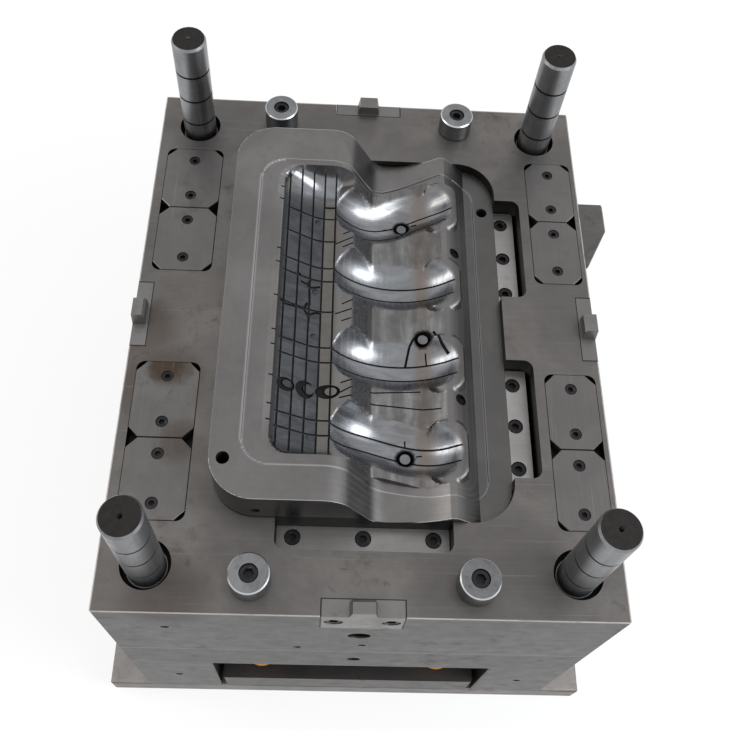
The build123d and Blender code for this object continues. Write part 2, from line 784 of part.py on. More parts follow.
# Core pins, fixed in the clamp plate, and the plugs behind their heads
with BuildPart() as core_pins:
    for x, y, z in ring_places:
        with BuildSketch(Plane.XY.offset(plug_thick)):
            with Locations((x, y)):
                Circle(core_pin_head_d / 2)
        extrude(amount=core_pin_head_thick)
        with BuildSketch(Plane.XY.offset(plug_thick)):
            with Locations((x, y)):
                Circle(core_pin_d / 2)
        extrude(amount=part_z + z - plug_thick)
save(core_pins.part, "core_pins")

with BuildPart() as plugs:
    with BuildSketch():
        with Locations(*[(x, y) for x, y, z in ring_places]):
            Circle(core_pin_head_d / 2 + free_fit - seat_fit)
            RegularPolygon(plug_key / 2, 6, major_radius=False, mode=Mode.SUBTRACT)
    extrude(amount=plug_thick)
save(plugs.part, "core_pin_plugs")

# Ejector base plate
with BuildPart() as base_plate:
    with BuildSketch(Plane.XY.offset(base_z)):
        Rectangle(2 * ejector_half, plate_length)
    extrude(amount=base_thick)
    chamfer(base_plate.edges().filter_by(Axis.Z), plate_chamfer)
    with Locations(Plane.XY.offset(retainer_z)):
        with Locations(*four(guide_x, guide_y)):
            CounterBoreHole(guide_d / 2 + free_fit, bush_flange_d / 2 + seat_fit, bush_flange_thick)
        with Locations(*four(post_x, post_y)):
            Hole(post_d / 2 + post_clear)
        with Locations(*[(x, y) for x, y, z in ring_places]):
            Hole(core_pin_d / 2 + free_fit)
    with Locations(Plane.XY.offset(base_z).rotated((180, 0, 0))):
        with Locations(*four(ejector_screw_x, ejector_screw_y)):
            CounterBoreHole(m12["d"] / 2 + free_fit, m12["bore_d"] / 2, m12["head_h"] + head_sink)
        Hole(m16["d"] / 2, depth=base_thick)
save(base_plate.part, "ejector_base_plate")

# Ejector retainer plate
with BuildPart() as retainer:
    with BuildSketch(Plane.XY.offset(retainer_z)):
        Rectangle(2 * ejector_half, plate_length)
    extrude(amount=retainer_thick)
    chamfer(retainer.edges().filter_by(Axis.Z), plate_chamfer)
    with Locations(Plane.XY.offset(retainer_z).rotated((180, 0, 0))):
        with Locations(*four(return_x, return_y)):
            CounterBoreHole(return_d / 2 + seat_fit, return_head_d / 2 + free_fit, return_head_thick)
        with Locations(*[(x, -y) for x, y, z in ring_places]):
            CounterBoreHole(sleeve_d / 2 + seat_fit, sleeve_head_d / 2 + free_fit, sleeve_head_thick)
        with Locations(*[(ejector_pin_x, -y) for y in ejector_pin_y]):
            CounterBoreHole(
                ejector_pin_d / 2 + seat_fit,
                ejector_pin_head_d / 2 + free_fit,
                ejector_pin_head_thick,
            )
        with Locations(*four(guide_x, guide_y)):
            Hole(bush_d / 2 + seat_fit)
        with Locations(*four(post_x, post_y)):
            Hole(post_d / 2 + post_clear)
        with Locations(*four(ejector_screw_x, ejector_screw_y)):
            Hole(m12["d"] / 2)
save(retainer.part, "ejector_retainer_plate")

# Ejector guide bushes
with BuildPart() as bushes:
    with BuildSketch(Plane.XY.offset(retainer_z - bush_flange_thick)):
        with Locations(*four(guide_x, guide_y)):
            Circle(bush_flange_d / 2)
            Circle(guide_d / 2 + run_fit, mode=Mode.SUBTRACT)
    extrude(amount=bush_flange_thick)
    with BuildSketch(Plane.XY.offset(retainer_z)):
        with Locations(*four(guide_x, guide_y)):
            Circle(bush_d / 2)
            Circle(guide_d / 2 + run_fit, mode=Mode.SUBTRACT)
    extrude(amount=retainer_thick + bush_proud)
save(bushes.part, "ejector_guide_bushes")

# Return pins with their head pads and springs
pin_top = part_z + rest_gap
for i, j in corners:
    word = names[(int(i), int(j))]
    x, y = i * return_x, j * return_y
    with BuildPart() as return_pin:
        with BuildSketch(Plane.XY.offset(retainer_z)):
            with Locations((x, y)):
                Circle(return_head_d / 2)
        extrude(amount=return_head_thick)
        with BuildSketch(Plane.XY.offset(retainer_z)):
            with Locations((x, y)):
                Circle(return_d / 2)
        extrude(amount=pin_top - retainer_z)
        with Locations((x, y, pin_top)):
            Hole(m12["d"] / 2, depth=pad_screw_length)
    save(return_pin.part, f"return_pin_{word}")
    with BuildPart() as pad:
        with BuildSketch(Plane.XY.offset(pin_top)):
            with Locations((x, y)):
                Circle(pad_d / 2)
        extrude(amount=pad_height)
        chamfer(pad.edges().filter_by(GeomType.CIRCLE), pad_chamfer)
        with Locations((x, y, pin_top + pad_height)):
            CounterBoreHole(m12["d"] / 2 + free_fit, m12["bore_d"] / 2, m12["head_h"] + pad_screw_sink)
    save(pad.part, f"return_pad_{word}")
    with BuildPart() as spring:
        pitch = (spring_roof - ejector_top) / spring_turns
        wire_r = (spring_outer_d + spring_inner_d) / 4
        with BuildLine(Plane((x, y, ejector_top - pitch))):
            coil = Helix(pitch, spring_roof - ejector_top + 2 * pitch, wire_r)
        start = Plane(origin=coil @ 0, x_dir=(1, 0, 0), z_dir=coil % 0)
        with BuildSketch(start):
            Rectangle((spring_outer_d - spring_inner_d) / 2, spring_wire_height)
        sweep(path=coil, is_frenet=True)
        with BuildSketch(Plane.XY.offset(ejector_top)):
            with Locations((x, y)):
                Circle(spring_outer_d)
        extrude(amount=spring_roof - ejector_top, mode=Mode.INTERSECT)
    save(spring.part, f"return_spring_{word}")

# Sleeve ejectors
with BuildPart() as sleeves:
    for x, y, z in ring_places:
        with BuildSketch(Plane.XY.offset(retainer_z)):
            with Locations((x, y)):
                Circle(sleeve_head_d / 2)
                Circle(core_pin_d / 2 + run_fit, mode=Mode.SUBTRACT)
        extrude(amount=sleeve_head_thick)
        with BuildSketch(Plane.XY.offset(retainer_z)):
            with Locations((x, y)):
                Circle(sleeve_d / 2)
                Circle(core_pin_d / 2 + run_fit, mode=Mode.SUBTRACT)
        extrude(amount=part_z + z - sleeve_drop - retainer_z)
save(sleeves.part, "sleeve_ejectors")

# Ejector pins
with BuildPart() as ejector_pins:
    with BuildSketch(Plane.XY.offset(retainer_z)):
        with Locations(*[(ejector_pin_x, y) for y in ejector_pin_y]):
            Circle(ejector_pin_head_d / 2)
    extrude(amount=ejector_pin_head_thick)
    with BuildSketch(Plane.XY.offset(retainer_z)):
        with Locations(*[(ejector_pin_x, y) for y in ejector_pin_y]):
            Circle(ejector_pin_d / 2)
    extrude(amount=part_z + trough_z(ejector_pin_x + ejector_pin_d / 2) - retainer_z)
save(ejector_pins.part, "ejector_pins")


def screw_set(name, size, length, places):
    """One node of like cap screws, each placed by the underside of its head."""
    one = screw_part(size, length)
    with BuildPart() as group:
        with Locations(*places):
            add(one)
    save(group.part, name)


def upside_down(x, y, z):
    return Location((x, y, z), (180, 0, 0))


clamp_seat = m20["head_h"] + head_sink
screw_set(
    "clamp_screws",
    m20,
    clamp_screw_length,
    [upside_down(i * clamp_screw_x, y, clamp_seat) for i in sides for y in clamp_screw_y],
)
post_seat = m12["head_h"] + head_sink
screw_set(
    "support_pillar_screws",
    m12,
    post_screw_length,
    [upside_down(x, y, post_seat) for x, y in four(post_x, post_y)],
)
insert_seat = moving_z + m16["head_h"] + head_sink
screw_set(
    "insert_screws",
    m16,
    insert_screw_length,
    [upside_down(i * insert_screw_x, y, insert_seat) for i in sides for y in insert_screw_y],
)
screw_set(
    "ejector_plate_screws",
    m12,
    ejector_screw_length,
    [upside_down(x, y, base_z + post_seat) for x, y in four(ejector_screw_x, ejector_screw_y)],
)
wear_seat = -(m8["head_h"] + head_sink)
wear_places = []
for x0, x1 in (wear_left, wear_right):
    for y0, y1 in (wear_front, wear_back):
        half = (y1 - y0) / 2
        for low in (y0, y0 + half):
            wear_places += [Location((x, y, z + wear_seat)) for x, y, z in wear_screws(x0, x1, low, half)]
screw_set("wear_plate_screws", m8, wear_screw_length, wear_places)
screw_set(
    "side_lock_screws",
    m12,
    lock_screw_length,
    [
        frame * Location((k * lock_screw_pitch / 2, -post_seat, lock_screw_z), facing_out)
        for frame in lock_frames.values()
        for k in sides
    ],
)
block_seat = m10["head_h"] + head_sink
screw_set(
    "wedge_block_screws",
    m10,
    wedge_screw_length,
    [
        frame * Location((k * wedge_sizes[kind]["pitch"], wedge_sizes[kind]["at"], wedge_top - block_seat))
        for frame, kind in wedge_frames.values()
        for k in (-1, 0, 1)
    ],
)
screw_set(
    "side_block_screws",
    m10,
    side_block_screw_length,
    [side_block_frame * Location((0, side_block_reach - block_seat, z), facing_out) for z in side_block_holes],
)
screw_set(
    "return_pad_screws",
    m12,
    pad_screw_length,
    [
        Location((x, y, pin_top + pad_height - pad_screw_sink - m12["head_h"]))
        for x, y in four(return_x, return_y)
    ],
)
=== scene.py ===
"""Dresses the moving half of an injection mould: shaped core insert, return springs and worn tool steel."""

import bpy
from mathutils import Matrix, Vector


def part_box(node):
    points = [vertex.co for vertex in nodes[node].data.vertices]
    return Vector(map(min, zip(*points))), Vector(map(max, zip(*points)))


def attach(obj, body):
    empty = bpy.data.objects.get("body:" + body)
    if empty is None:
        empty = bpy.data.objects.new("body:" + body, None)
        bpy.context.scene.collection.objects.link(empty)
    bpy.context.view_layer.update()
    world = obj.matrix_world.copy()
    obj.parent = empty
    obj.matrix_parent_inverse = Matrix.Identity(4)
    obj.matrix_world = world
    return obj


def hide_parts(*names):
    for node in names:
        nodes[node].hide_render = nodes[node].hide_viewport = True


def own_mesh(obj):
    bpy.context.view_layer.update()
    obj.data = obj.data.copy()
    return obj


bl_info = {
    "name": "Injection Mould Half",
    "version": (1, 0, 0),
    "blender": (4, 5, 0),
    "location": "View3D > Sidebar > Mould",
    "description": "Shapes the core insert and the return springs, and gives plates and screws their steel",
    "category": "Object",
}

from functools import reduce
from math import pi, radians, tan

import bmesh
import bpy
import numpy as np
from mathutils import Matrix, Vector

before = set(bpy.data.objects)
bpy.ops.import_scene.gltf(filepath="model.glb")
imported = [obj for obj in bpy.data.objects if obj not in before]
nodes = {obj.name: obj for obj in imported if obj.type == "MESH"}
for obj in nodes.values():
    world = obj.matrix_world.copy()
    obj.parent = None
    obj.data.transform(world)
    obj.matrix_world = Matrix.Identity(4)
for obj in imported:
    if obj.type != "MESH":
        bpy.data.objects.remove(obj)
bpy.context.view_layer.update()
parting_z = 0.480
corner_names = ("back_left", "back_right", "front_left", "front_right")


# Settings


class MouldInsertSettings(bpy.types.PropertyGroup):
    """Sizes and colours of the core insert's shaped face."""

    spacing: bpy.props.FloatProperty(
        name="Spacing", description="Distance between the lines of the shaped face", default=0.0017,
        unit="LENGTH",
    )
    groove_width: bpy.props.FloatProperty(
        name="Groove width", description="Width of the vent grooves", default=0.002, unit="LENGTH",
    )
    groove_depth: bpy.props.FloatProperty(
        name="Groove depth", description="Depth of the grooves in the trough", default=0.002, unit="LENGTH",
    )
    runner_groove_depth: bpy.props.FloatProperty(
        name="Runner groove depth", description="Depth of the grooves in the runner channels",
        default=0.0025, unit="LENGTH",
    )
    runner_radius: bpy.props.FloatProperty(
        name="Runner radius", description="Radius of a runner channel's section", default=0.037,
        unit="LENGTH",
    )
    runner_path_radius: bpy.props.FloatProperty(
        name="Runner path radius", description="Radius of the arc in which a runner channel dips",
        default=0.0545, unit="LENGTH",
    )
    saddle_lip: bpy.props.FloatProperty(
        name="Saddle lip", description="Rounding between a runner channel and the saddles", default=0.0075,
        unit="LENGTH",
    )
    land_lip: bpy.props.FloatProperty(
        name="Land lip", description="Rounding between a runner channel and the land beside the trough",
        default=0.003, unit="LENGTH",
    )
    relief: bpy.props.FloatProperty(
        name="Relief", description="How far the face inside the relief line lies lower", default=0.0017,
        unit="LENGTH",
    )
    mark_width: bpy.props.FloatProperty(
        name="Mark width", description="Width of the short vent marks", default=0.0017, unit="LENGTH",
    )
    polish_tone: bpy.props.FloatVectorProperty(
        name="Polish tone", description="Colour of the polished runner channels", subtype="COLOR",
        default=(0.225, 0.233, 0.248), min=0, max=1,
    )
    flange_tone: bpy.props.FloatVectorProperty(
        name="Flange tone", description="Colour of the milled flange", subtype="COLOR",
        default=(0.168, 0.163, 0.161), min=0, max=1,
    )
    trough_tone: bpy.props.FloatVectorProperty(
        name="Trough tone", description="Colour of the trough's panels", subtype="COLOR",
        default=(0.073, 0.077, 0.083), min=0, max=1,
    )


class MouldSteelSettings(bpy.types.PropertyGroup):
    """Colours of the plates, blocks and fasteners."""

    plate_tone: bpy.props.FloatVectorProperty(
        name="Plate tone", description="Colour of the ground plates", subtype="COLOR",
        default=(0.155, 0.146, 0.140), min=0, max=1,
    )
    stain_tone: bpy.props.FloatVectorProperty(
        name="Stain tone", description="Colour of the oil and rust stains", subtype="COLOR",
        default=(0.060, 0.038, 0.025), min=0, max=1,
    )
    wear_tone: bpy.props.FloatVectorProperty(
        name="Wear plate tone", description="Colour of the wear plates", subtype="COLOR",
        default=(0.150, 0.144, 0.141), min=0, max=1,
    )
    block_tone: bpy.props.FloatVectorProperty(
        name="Block tone", description="Colour of the locks and wedge blocks", subtype="COLOR",
        default=(0.140, 0.136, 0.132), min=0, max=1,
    )
    bright_tone: bpy.props.FloatVectorProperty(
        name="Bright tone", description="Colour of the ground pillars, pins and pads", subtype="COLOR",
        default=(0.285, 0.29, 0.30), min=0, max=1,
    )
    oxide_tone: bpy.props.FloatVectorProperty(
        name="Oxide tone", description="Colour of the blackened screws", subtype="COLOR",
        default=(0.022, 0.022, 0.024), min=0, max=1,
    )


class MouldSpringSettings(bpy.types.PropertyGroup):
    """Sizes and colour of the return springs."""

    outer: bpy.props.FloatProperty(
        name="Outer diameter", description="Diameter over the coil", default=0.045, unit="LENGTH",
    )
    inner: bpy.props.FloatProperty(
        name="Inner diameter", description="Diameter inside the coil", default=0.028, unit="LENGTH",
    )
    wire: bpy.props.FloatProperty(
        name="Wire height", description="Height of the flat wire", default=0.009, unit="LENGTH",
    )
    turns: bpy.props.IntProperty(name="Turns", description="Number of turns of the coil", default=6, min=2)
    paint: bpy.props.FloatVectorProperty(
        name="Paint", description="Colour of the springs", subtype="COLOR", default=(0.86, 0.36, 0.05),
        min=0, max=1,
    )


class MouldStageSettings(bpy.types.PropertyGroup):
    """Lamps and floor."""

    key_power: bpy.props.FloatProperty(
        name="Key lamp", description="Power of the soft lamp at the right", default=56.0, unit="POWER",
    )
    fill_power: bpy.props.FloatProperty(
        name="Fill lamp", description="Power of the soft lamp at the left", default=22.0, unit="POWER",
    )
    floor_tone: bpy.props.FloatVectorProperty(
        name="Floor tone", description="Colour of the floor", subtype="COLOR", default=(0.25, 0.25, 0.25),
        min=0, max=1,
    )


# Materials

gap_shade_black = (0.012, 0.011, 0.01)
groove_shade_black = (0.012, 0.012, 0.013)
recess_shade_black = (0.006, 0.006, 0.006)
highlight_grey = (0.5, 0.5, 0.5)


class Value:
    """A socket that takes part in arithmetic, where each step adds one Math node."""

    def __init__(self, paint, socket):
        self.paint = paint
        self.socket = socket

    def math(self, operation, *values, clamp=False):
        settings = {"operation": operation, "use_clamp": clamp}
        return self.paint.node("ShaderNodeMath", settings, dict(enumerate(values)))

    def __add__(self, other):
        return self.math("ADD", self, other)

    def __sub__(self, other):
        return self.math("SUBTRACT", self, other)

    def __mul__(self, other):
        return self.math("MULTIPLY", self, other)

    def __rsub__(self, other):
        return self.math("SUBTRACT", other, self)

    def __abs__(self):
        return self.math("ABSOLUTE", self)

    __radd__ = __add__
    __rmul__ = __mul__

    def squared(self):
        return self * self

    def root(self):
        return self.math("SQRT", self)

    def sine(self):
        return self.math("SINE", self)

    def above(self, other):
        return self.math("MAXIMUM", self, other)

    def below(self, other):
        return self.math("MINIMUM", self, other)

    def clamp(self):
        return self.math("ADD", self, 0.0, clamp=True)


class Paint:
    """The node tree of a material or of the world, in the making."""

    def __init__(self, owner):
        self.owner = owner
        owner.use_nodes = True
        self.tree = owner.node_tree
        self.tree.nodes.clear()

    def node(self, kind, settings=None, inputs=None, output=0):
        """Adds a node, sets it up, fills or links its sockets and gives back one of its outputs."""
        made = self.tree.nodes.new(kind)
        for name, value in (settings or {}).items():
            if name == "stops":
                for place, (at, tone) in enumerate(value):
                    stops = made.color_ramp.elements
                    stop = stops[place] if place < 2 else stops.new(at)
                    stop.position, stop.color = at, tone
            else:
                setattr(made, name, value)
        for key, value in (inputs or {}).items():
            if isinstance(value, Value):
                self.tree.links.new(value.socket, made.inputs[key])
            else:
                made.inputs[key].default_value = value
        return Value(self, made.outputs[output]) if made.outputs else None

    def place(self, scale=(1, 1, 1), turn=(0, 0, 0)):
        """Object coordinates, scaled and turned for a pattern."""
        at = self.node("ShaderNodeTexCoord", output=3)
        return self.node("ShaderNodeMapping", inputs={"Vector": at, "Rotation": turn, "Scale": scale})

    def axes(self):
        """Object coordinates as three numbers."""
        at = self.node("ShaderNodeTexCoord", output=3)
        return [self.node("ShaderNodeSeparateXYZ", inputs={0: at}, output=i) for i in range(3)]

    def noise(self, scale, detail=3.0, rough=0.5, stretch=(1, 1, 1), turn=(0, 0, 0), warp=0.0):
        inputs = {"Vector": self.place(stretch, turn), "Scale": scale, "Detail": detail}
        inputs.update({"Roughness": rough, "Distortion": warp})
        return self.node("ShaderNodeTexNoise", inputs=inputs)

    def ease(self, value, low, high, start=0.0, end=1.0):
        """A soft step from start to end while the value goes from low to high."""
        settings = {"interpolation_type": "SMOOTHSTEP"}
        return self.node("ShaderNodeMapRange", settings, {0: value, 1: low, 2: high, 3: start, 4: end})

    def seam(self, low, high, width):
        """1 within a width of the box's faces and 0 further in."""
        gaps = [gap for i, axis in enumerate(self.axes()) for gap in (axis - low[i], high[i] - axis)]
        return self.ease(reduce(Value.below, gaps), width, width * 0.7)

    def mix(self, share, first, second, how="MIX"):
        settings = {"data_type": "RGBA", "blend_type": how}
        inputs = {0: share, 6: shade(first), 7: shade(second)}
        return self.node("ShaderNodeMix", settings, inputs, output=2)

    def mark(self, name):
        """A value stored on the piece's own points."""
        settings = {"attribute_type": "GEOMETRY", "attribute_name": name}
        return self.node("ShaderNodeAttribute", settings, output=2)

    def seen(self):
        """1 for what the camera sees, straight, mirrored or through glass, and 0 for light on the object."""
        camera_ray, glossy_ray, transmission_ray = 0, 3, 6
        rays = (camera_ray, glossy_ray, transmission_ray)
        return reduce(Value.above, [self.node("ShaderNodeLightPath", output=ray) for ray in rays])

    def bump(self, height, distance, strength=1.0, normal=None):
        inputs = {"Strength": strength, "Distance": distance, "Height": height}
        if normal:
            inputs["Normal"] = normal
        return self.node("ShaderNodeBump", inputs=inputs)

    def finish(self, tone, rough, metal, normal=None, **fixed):
        """Ends a material with its shader and gives the material back."""
        inputs = {"Base Color": shade(tone), "Roughness": rough, "Metallic": metal}
        if normal:
            inputs["Normal"] = normal
        inputs.update({name.replace("_", " "): value for name, value in fixed.items()})
        shader = self.node("ShaderNodeBsdfPrincipled", inputs=inputs)
        self.node("ShaderNodeOutputMaterial", inputs={"Surface": shader})
        return self.owner


def shade(tone, gain=1.0):
    """A socket as it is, or a plain colour with its fourth number, brightened or darkened."""
    return tone if isinstance(tone, Value) else (*[min(1.0, gain * c) for c in tone[:3]], 1.0)


def ground_steel(name, tone, stain, grain, rough, mottle, stains,
                 spots=(), highlit_edges=None, shaded_pockets=None, holes=(), seam=None, sides=None):
    """Surface-ground plate: lines along the grain, cloudy mottling, oil and rust stains and scratches.

    spots are stains, each with its middle, reach and share. The arguments after them paint light and shade: a
    plate's box whose edges get a painted highlight, one whose pockets get painted shade, holes in the front
    or back with a painted highlight on their rim, a box whose outline gets painted shade where the piece
    meets the next part, and the height below which the steel is painted darker as shade, and by how much.
    """
    paint = Paint(bpy.data.materials.new(name))
    ax, ay, az = paint.axes()
    clouds = paint.noise(7.0, 5.0, 0.6, warp=0.4)
    blotch = paint.noise(38.0, 6.0, 0.68)
    lines = paint.noise(1.0, 3.0, 0.6, stretch=grain)
    scratch = paint.noise(3.0, 2.0, 0.5, stretch=[g * 0.35 for g in grain], turn=(0, 0, radians(23)))
    smudge = paint.noise(75.0, 4.0, 0.55, warp=0.8)
    dark_tone, light_tone = shade(tone, 1 - 0.3 * mottle), shade(tone, 1 + 0.22 * mottle)
    body = paint.mix(paint.ease(clouds, 0.3, 0.7), dark_tone, light_tone)
    body = paint.mix(paint.ease(blotch, 0.35, 0.72) * (0.55 * mottle), body, shade(tone, 0.62))
    body = paint.mix(paint.ease(lines, 0.35, 0.75) * 0.14, body, shade(tone, 1.35))
    smudged = paint.ease(smudge, 0.6, 0.75) * paint.ease(clouds, 0.42, 0.6) * 0.6
    body = paint.mix(smudged, body, shade(tone, 0.5))
    dirt = paint.ease(clouds * 0.55 + blotch * 0.6, 0.62, 0.78) * stains
    for x, y, z, reach, share in spots:
        near = ((ax - x).squared() + (ay - y).squared() + (az - z).squared()) * (1 / reach**2)
        dirt = dirt.above(paint.ease(near + (blotch - 0.5) * 1.9, 1.1, 0.1) * share)
    body = paint.mix(dirt, body, stain)
    body = paint.mix(paint.ease(scratch, 0.69, 0.73) * 0.4, body, shade(tone, 1.7))
    # Painted highlight: bright bands along the plate's edges and chamfers, broken up by the blotches.
    if highlit_edges:
        reach_x, reach_y, low_z, high_z = highlit_edges
        edges = [(abs(ax) + abs(ay), reach_x + reach_y)]
        for across, reach in ((abs(ax), reach_x), (abs(ay), reach_y)):
            edges += [(across + az, reach + high_z), (across - az, reach - low_z)]
        shares = [paint.ease(value, limit - 0.0014, limit - 0.0011) for value, limit in edges]
        wear_and_highlight = reduce(Value.above, shares) * paint.ease(blotch, 0.3, 0.5, 0.35, 0.9)
        body = paint.mix(wear_and_highlight, body, shade(tone, 3.2))
    # Painted highlight: a bright ring round each hole in the front or back face.
    for x, z, radius, side in holes:
        near = ((ax - x).squared() + (az - z).squared()).root()
        rim = paint.ease(near, radius + 0.0016, radius + 0.0006) * paint.ease(ay * side, 0.340, 0.3422)
        body = paint.mix(rim * 0.7, body, shade(tone, 2.6))
    # Painted shade: the walls of the plate's pockets, below its top, are darkened.
    if shaded_pockets:
        reach_x, reach_y, top = shaded_pockets
        pocket_shade = paint.ease(az, top - 0.0004, top - 0.0012) * 0.8
        for across, reach in ((abs(ax), reach_x), (abs(ay), reach_y)):
            pocket_shade = pocket_shade * paint.ease(across, reach - 0.0012, reach - 0.0022)
        body = paint.mix(pocket_shade, body, shade(tone, 0.12))
    # Painted shade: the steel below the top, seen as the upright sides, is made darker.
    if sides:
        top, gain = sides
        body = paint.mix(paint.ease(az, top - 0.0002, top - 0.0010), body, (gain, gain, gain), "MULTIPLY")
    # Painted shade: a dark band along the box's faces, in the gap where the piece meets its pocket or
    # neighbour.
    if seam:
        outline = paint.seam(*seam)
        body = paint.mix(outline, body, gap_shade_black)
        dirt = dirt.above(outline)
    gloss = rough + (blotch - 0.5) * 0.22 + (lines - 0.5) * 0.16 + dirt * 0.18
    relief = paint.bump(blotch, 0.00012, 0.35, paint.bump(lines, 0.00006, 0.5))
    return paint.finish(body, gloss.clamp(), 0.85 - dirt * 0.4, relief)


def bright_steel(name, tone, stain, rough, ends=(), end_tone=None, pillar=None, highlight_z=None):
    """Cylindrically ground steel: fine rings round z, painted reflections as dark streaks along z, and thin
    oily smears.

    ends are dark end faces, each with its place, reach and height. pillar is a guide pillar's place, for its
    darkened grooves and the painted shade in the gap round its foot, and the last is the height of a top edge
    that gets a painted highlight.
    """
    paint = Paint(bpy.data.materials.new(name))
    ax, ay, az = paint.axes()
    rings = paint.noise(1.0, 3.0, 0.55, stretch=(2, 2, 1400))
    smear = paint.noise(16.0, 5.0, 0.62, stretch=(1, 1, 0.45), warp=0.6)
    speck = paint.noise(210.0, 3.0, 0.6)
    streak = paint.noise(95.0, 4.0, 0.6, stretch=(1, 1, 0.05))
    body = paint.mix(paint.ease(smear, 0.35, 0.7), shade(tone, 1.12), shade(tone, 0.7))
    body = paint.mix(paint.ease(rings, 0.3, 0.7) * 0.35, body, shade(tone, 0.62))
    # Painted reflection: dark bands along z, as the surroundings would show in a round ground surface.
    body = paint.mix(paint.ease(streak, 0.48, 0.66) * 0.4, body, shade(tone, 0.5))
    dirt = paint.ease(smear * 0.5 + speck * 0.55, 0.60, 0.72) * 0.55
    body = paint.mix(dirt, body, stain)
    gloss = rough + (smear - 0.5) * 0.2 + dirt * 0.25
    for x, y, reach, top in ends:
        tip = paint.ease(az, top - 0.0006, top - 0.0002)
        tip = tip * paint.ease(abs(ax - x) + abs(ay - y), reach, reach * 0.95)
        body = paint.mix(tip, body, paint.mix(speck, shade(end_tone, 0.7), shade(end_tone, 1.4)))
        gloss = gloss + tip * 0.25
    # Painted highlight along the top edge's chamfer.
    if highlight_z is not None:
        rim = paint.ease(az, highlight_z - 0.0016, highlight_z - 0.0012) * paint.ease(az, highlight_z, highlight_z - 0.0002)
        body = paint.mix(rim, body, shade(tone, 2.2))
    if pillar:
        # Painted shade: the pillar's foot at the gap in the plate is made near black, and its grooves darker.
        from_axis = ((abs(ax) - pillar[0]).squared() + (abs(ay) - pillar[1]).squared()).root()
        body = paint.mix(paint.ease(from_axis, 0.0213, 0.0218), body, recess_shade_black)
        groove = paint.ease(from_axis, 0.0206, 0.0203) * paint.ease(az, 0.60, 0.595)
        body = paint.mix(groove, body, (0.02, 0.02, 0.02))
    return paint.finish(body, gloss.clamp(), 1.0 - dirt * 0.5, paint.bump(rings, 0.00003, 0.4))


def black_oxide(name, tone):
    """Blackened screws with worn grey rubbed spots and a dusty socket."""
    paint = Paint(bpy.data.materials.new(name))
    wear = paint.noise(170.0, 5.0, 0.65)
    dust = paint.noise(55.0, 3.0, 0.5)
    body = paint.mix(paint.ease(wear, 0.56, 0.7) * 0.5, tone, shade(tone, 5.0))
    body = paint.mix(paint.ease(dust, 0.5, 0.8) * 0.3, body, (0.09, 0.08, 0.07))
    gloss = 0.42 + (wear - 0.5) * 0.3
    return paint.finish(body, gloss.clamp(), 0.7, paint.bump(wear, 0.00005, 0.5))


def spring_paint(name, tone):
    """Painted spring wire with chips and grime."""
    paint = Paint(bpy.data.materials.new(name))
    grime = paint.noise(60.0, 5.0, 0.6)
    chips = paint.noise(260.0, 4.0, 0.7)
    body = paint.mix(paint.ease(grime, 0.35, 0.75) * 0.6, tone, shade(tone, 0.45))
    bare = paint.ease(chips, 0.68, 0.74)
    body = paint.mix(bare, body, (0.32, 0.31, 0.30))
    gloss = 0.38 + (grime - 0.5) * 0.3
    return paint.finish(body, gloss.clamp(), bare * 0.8, paint.bump(chips, 0.0001, 0.3))


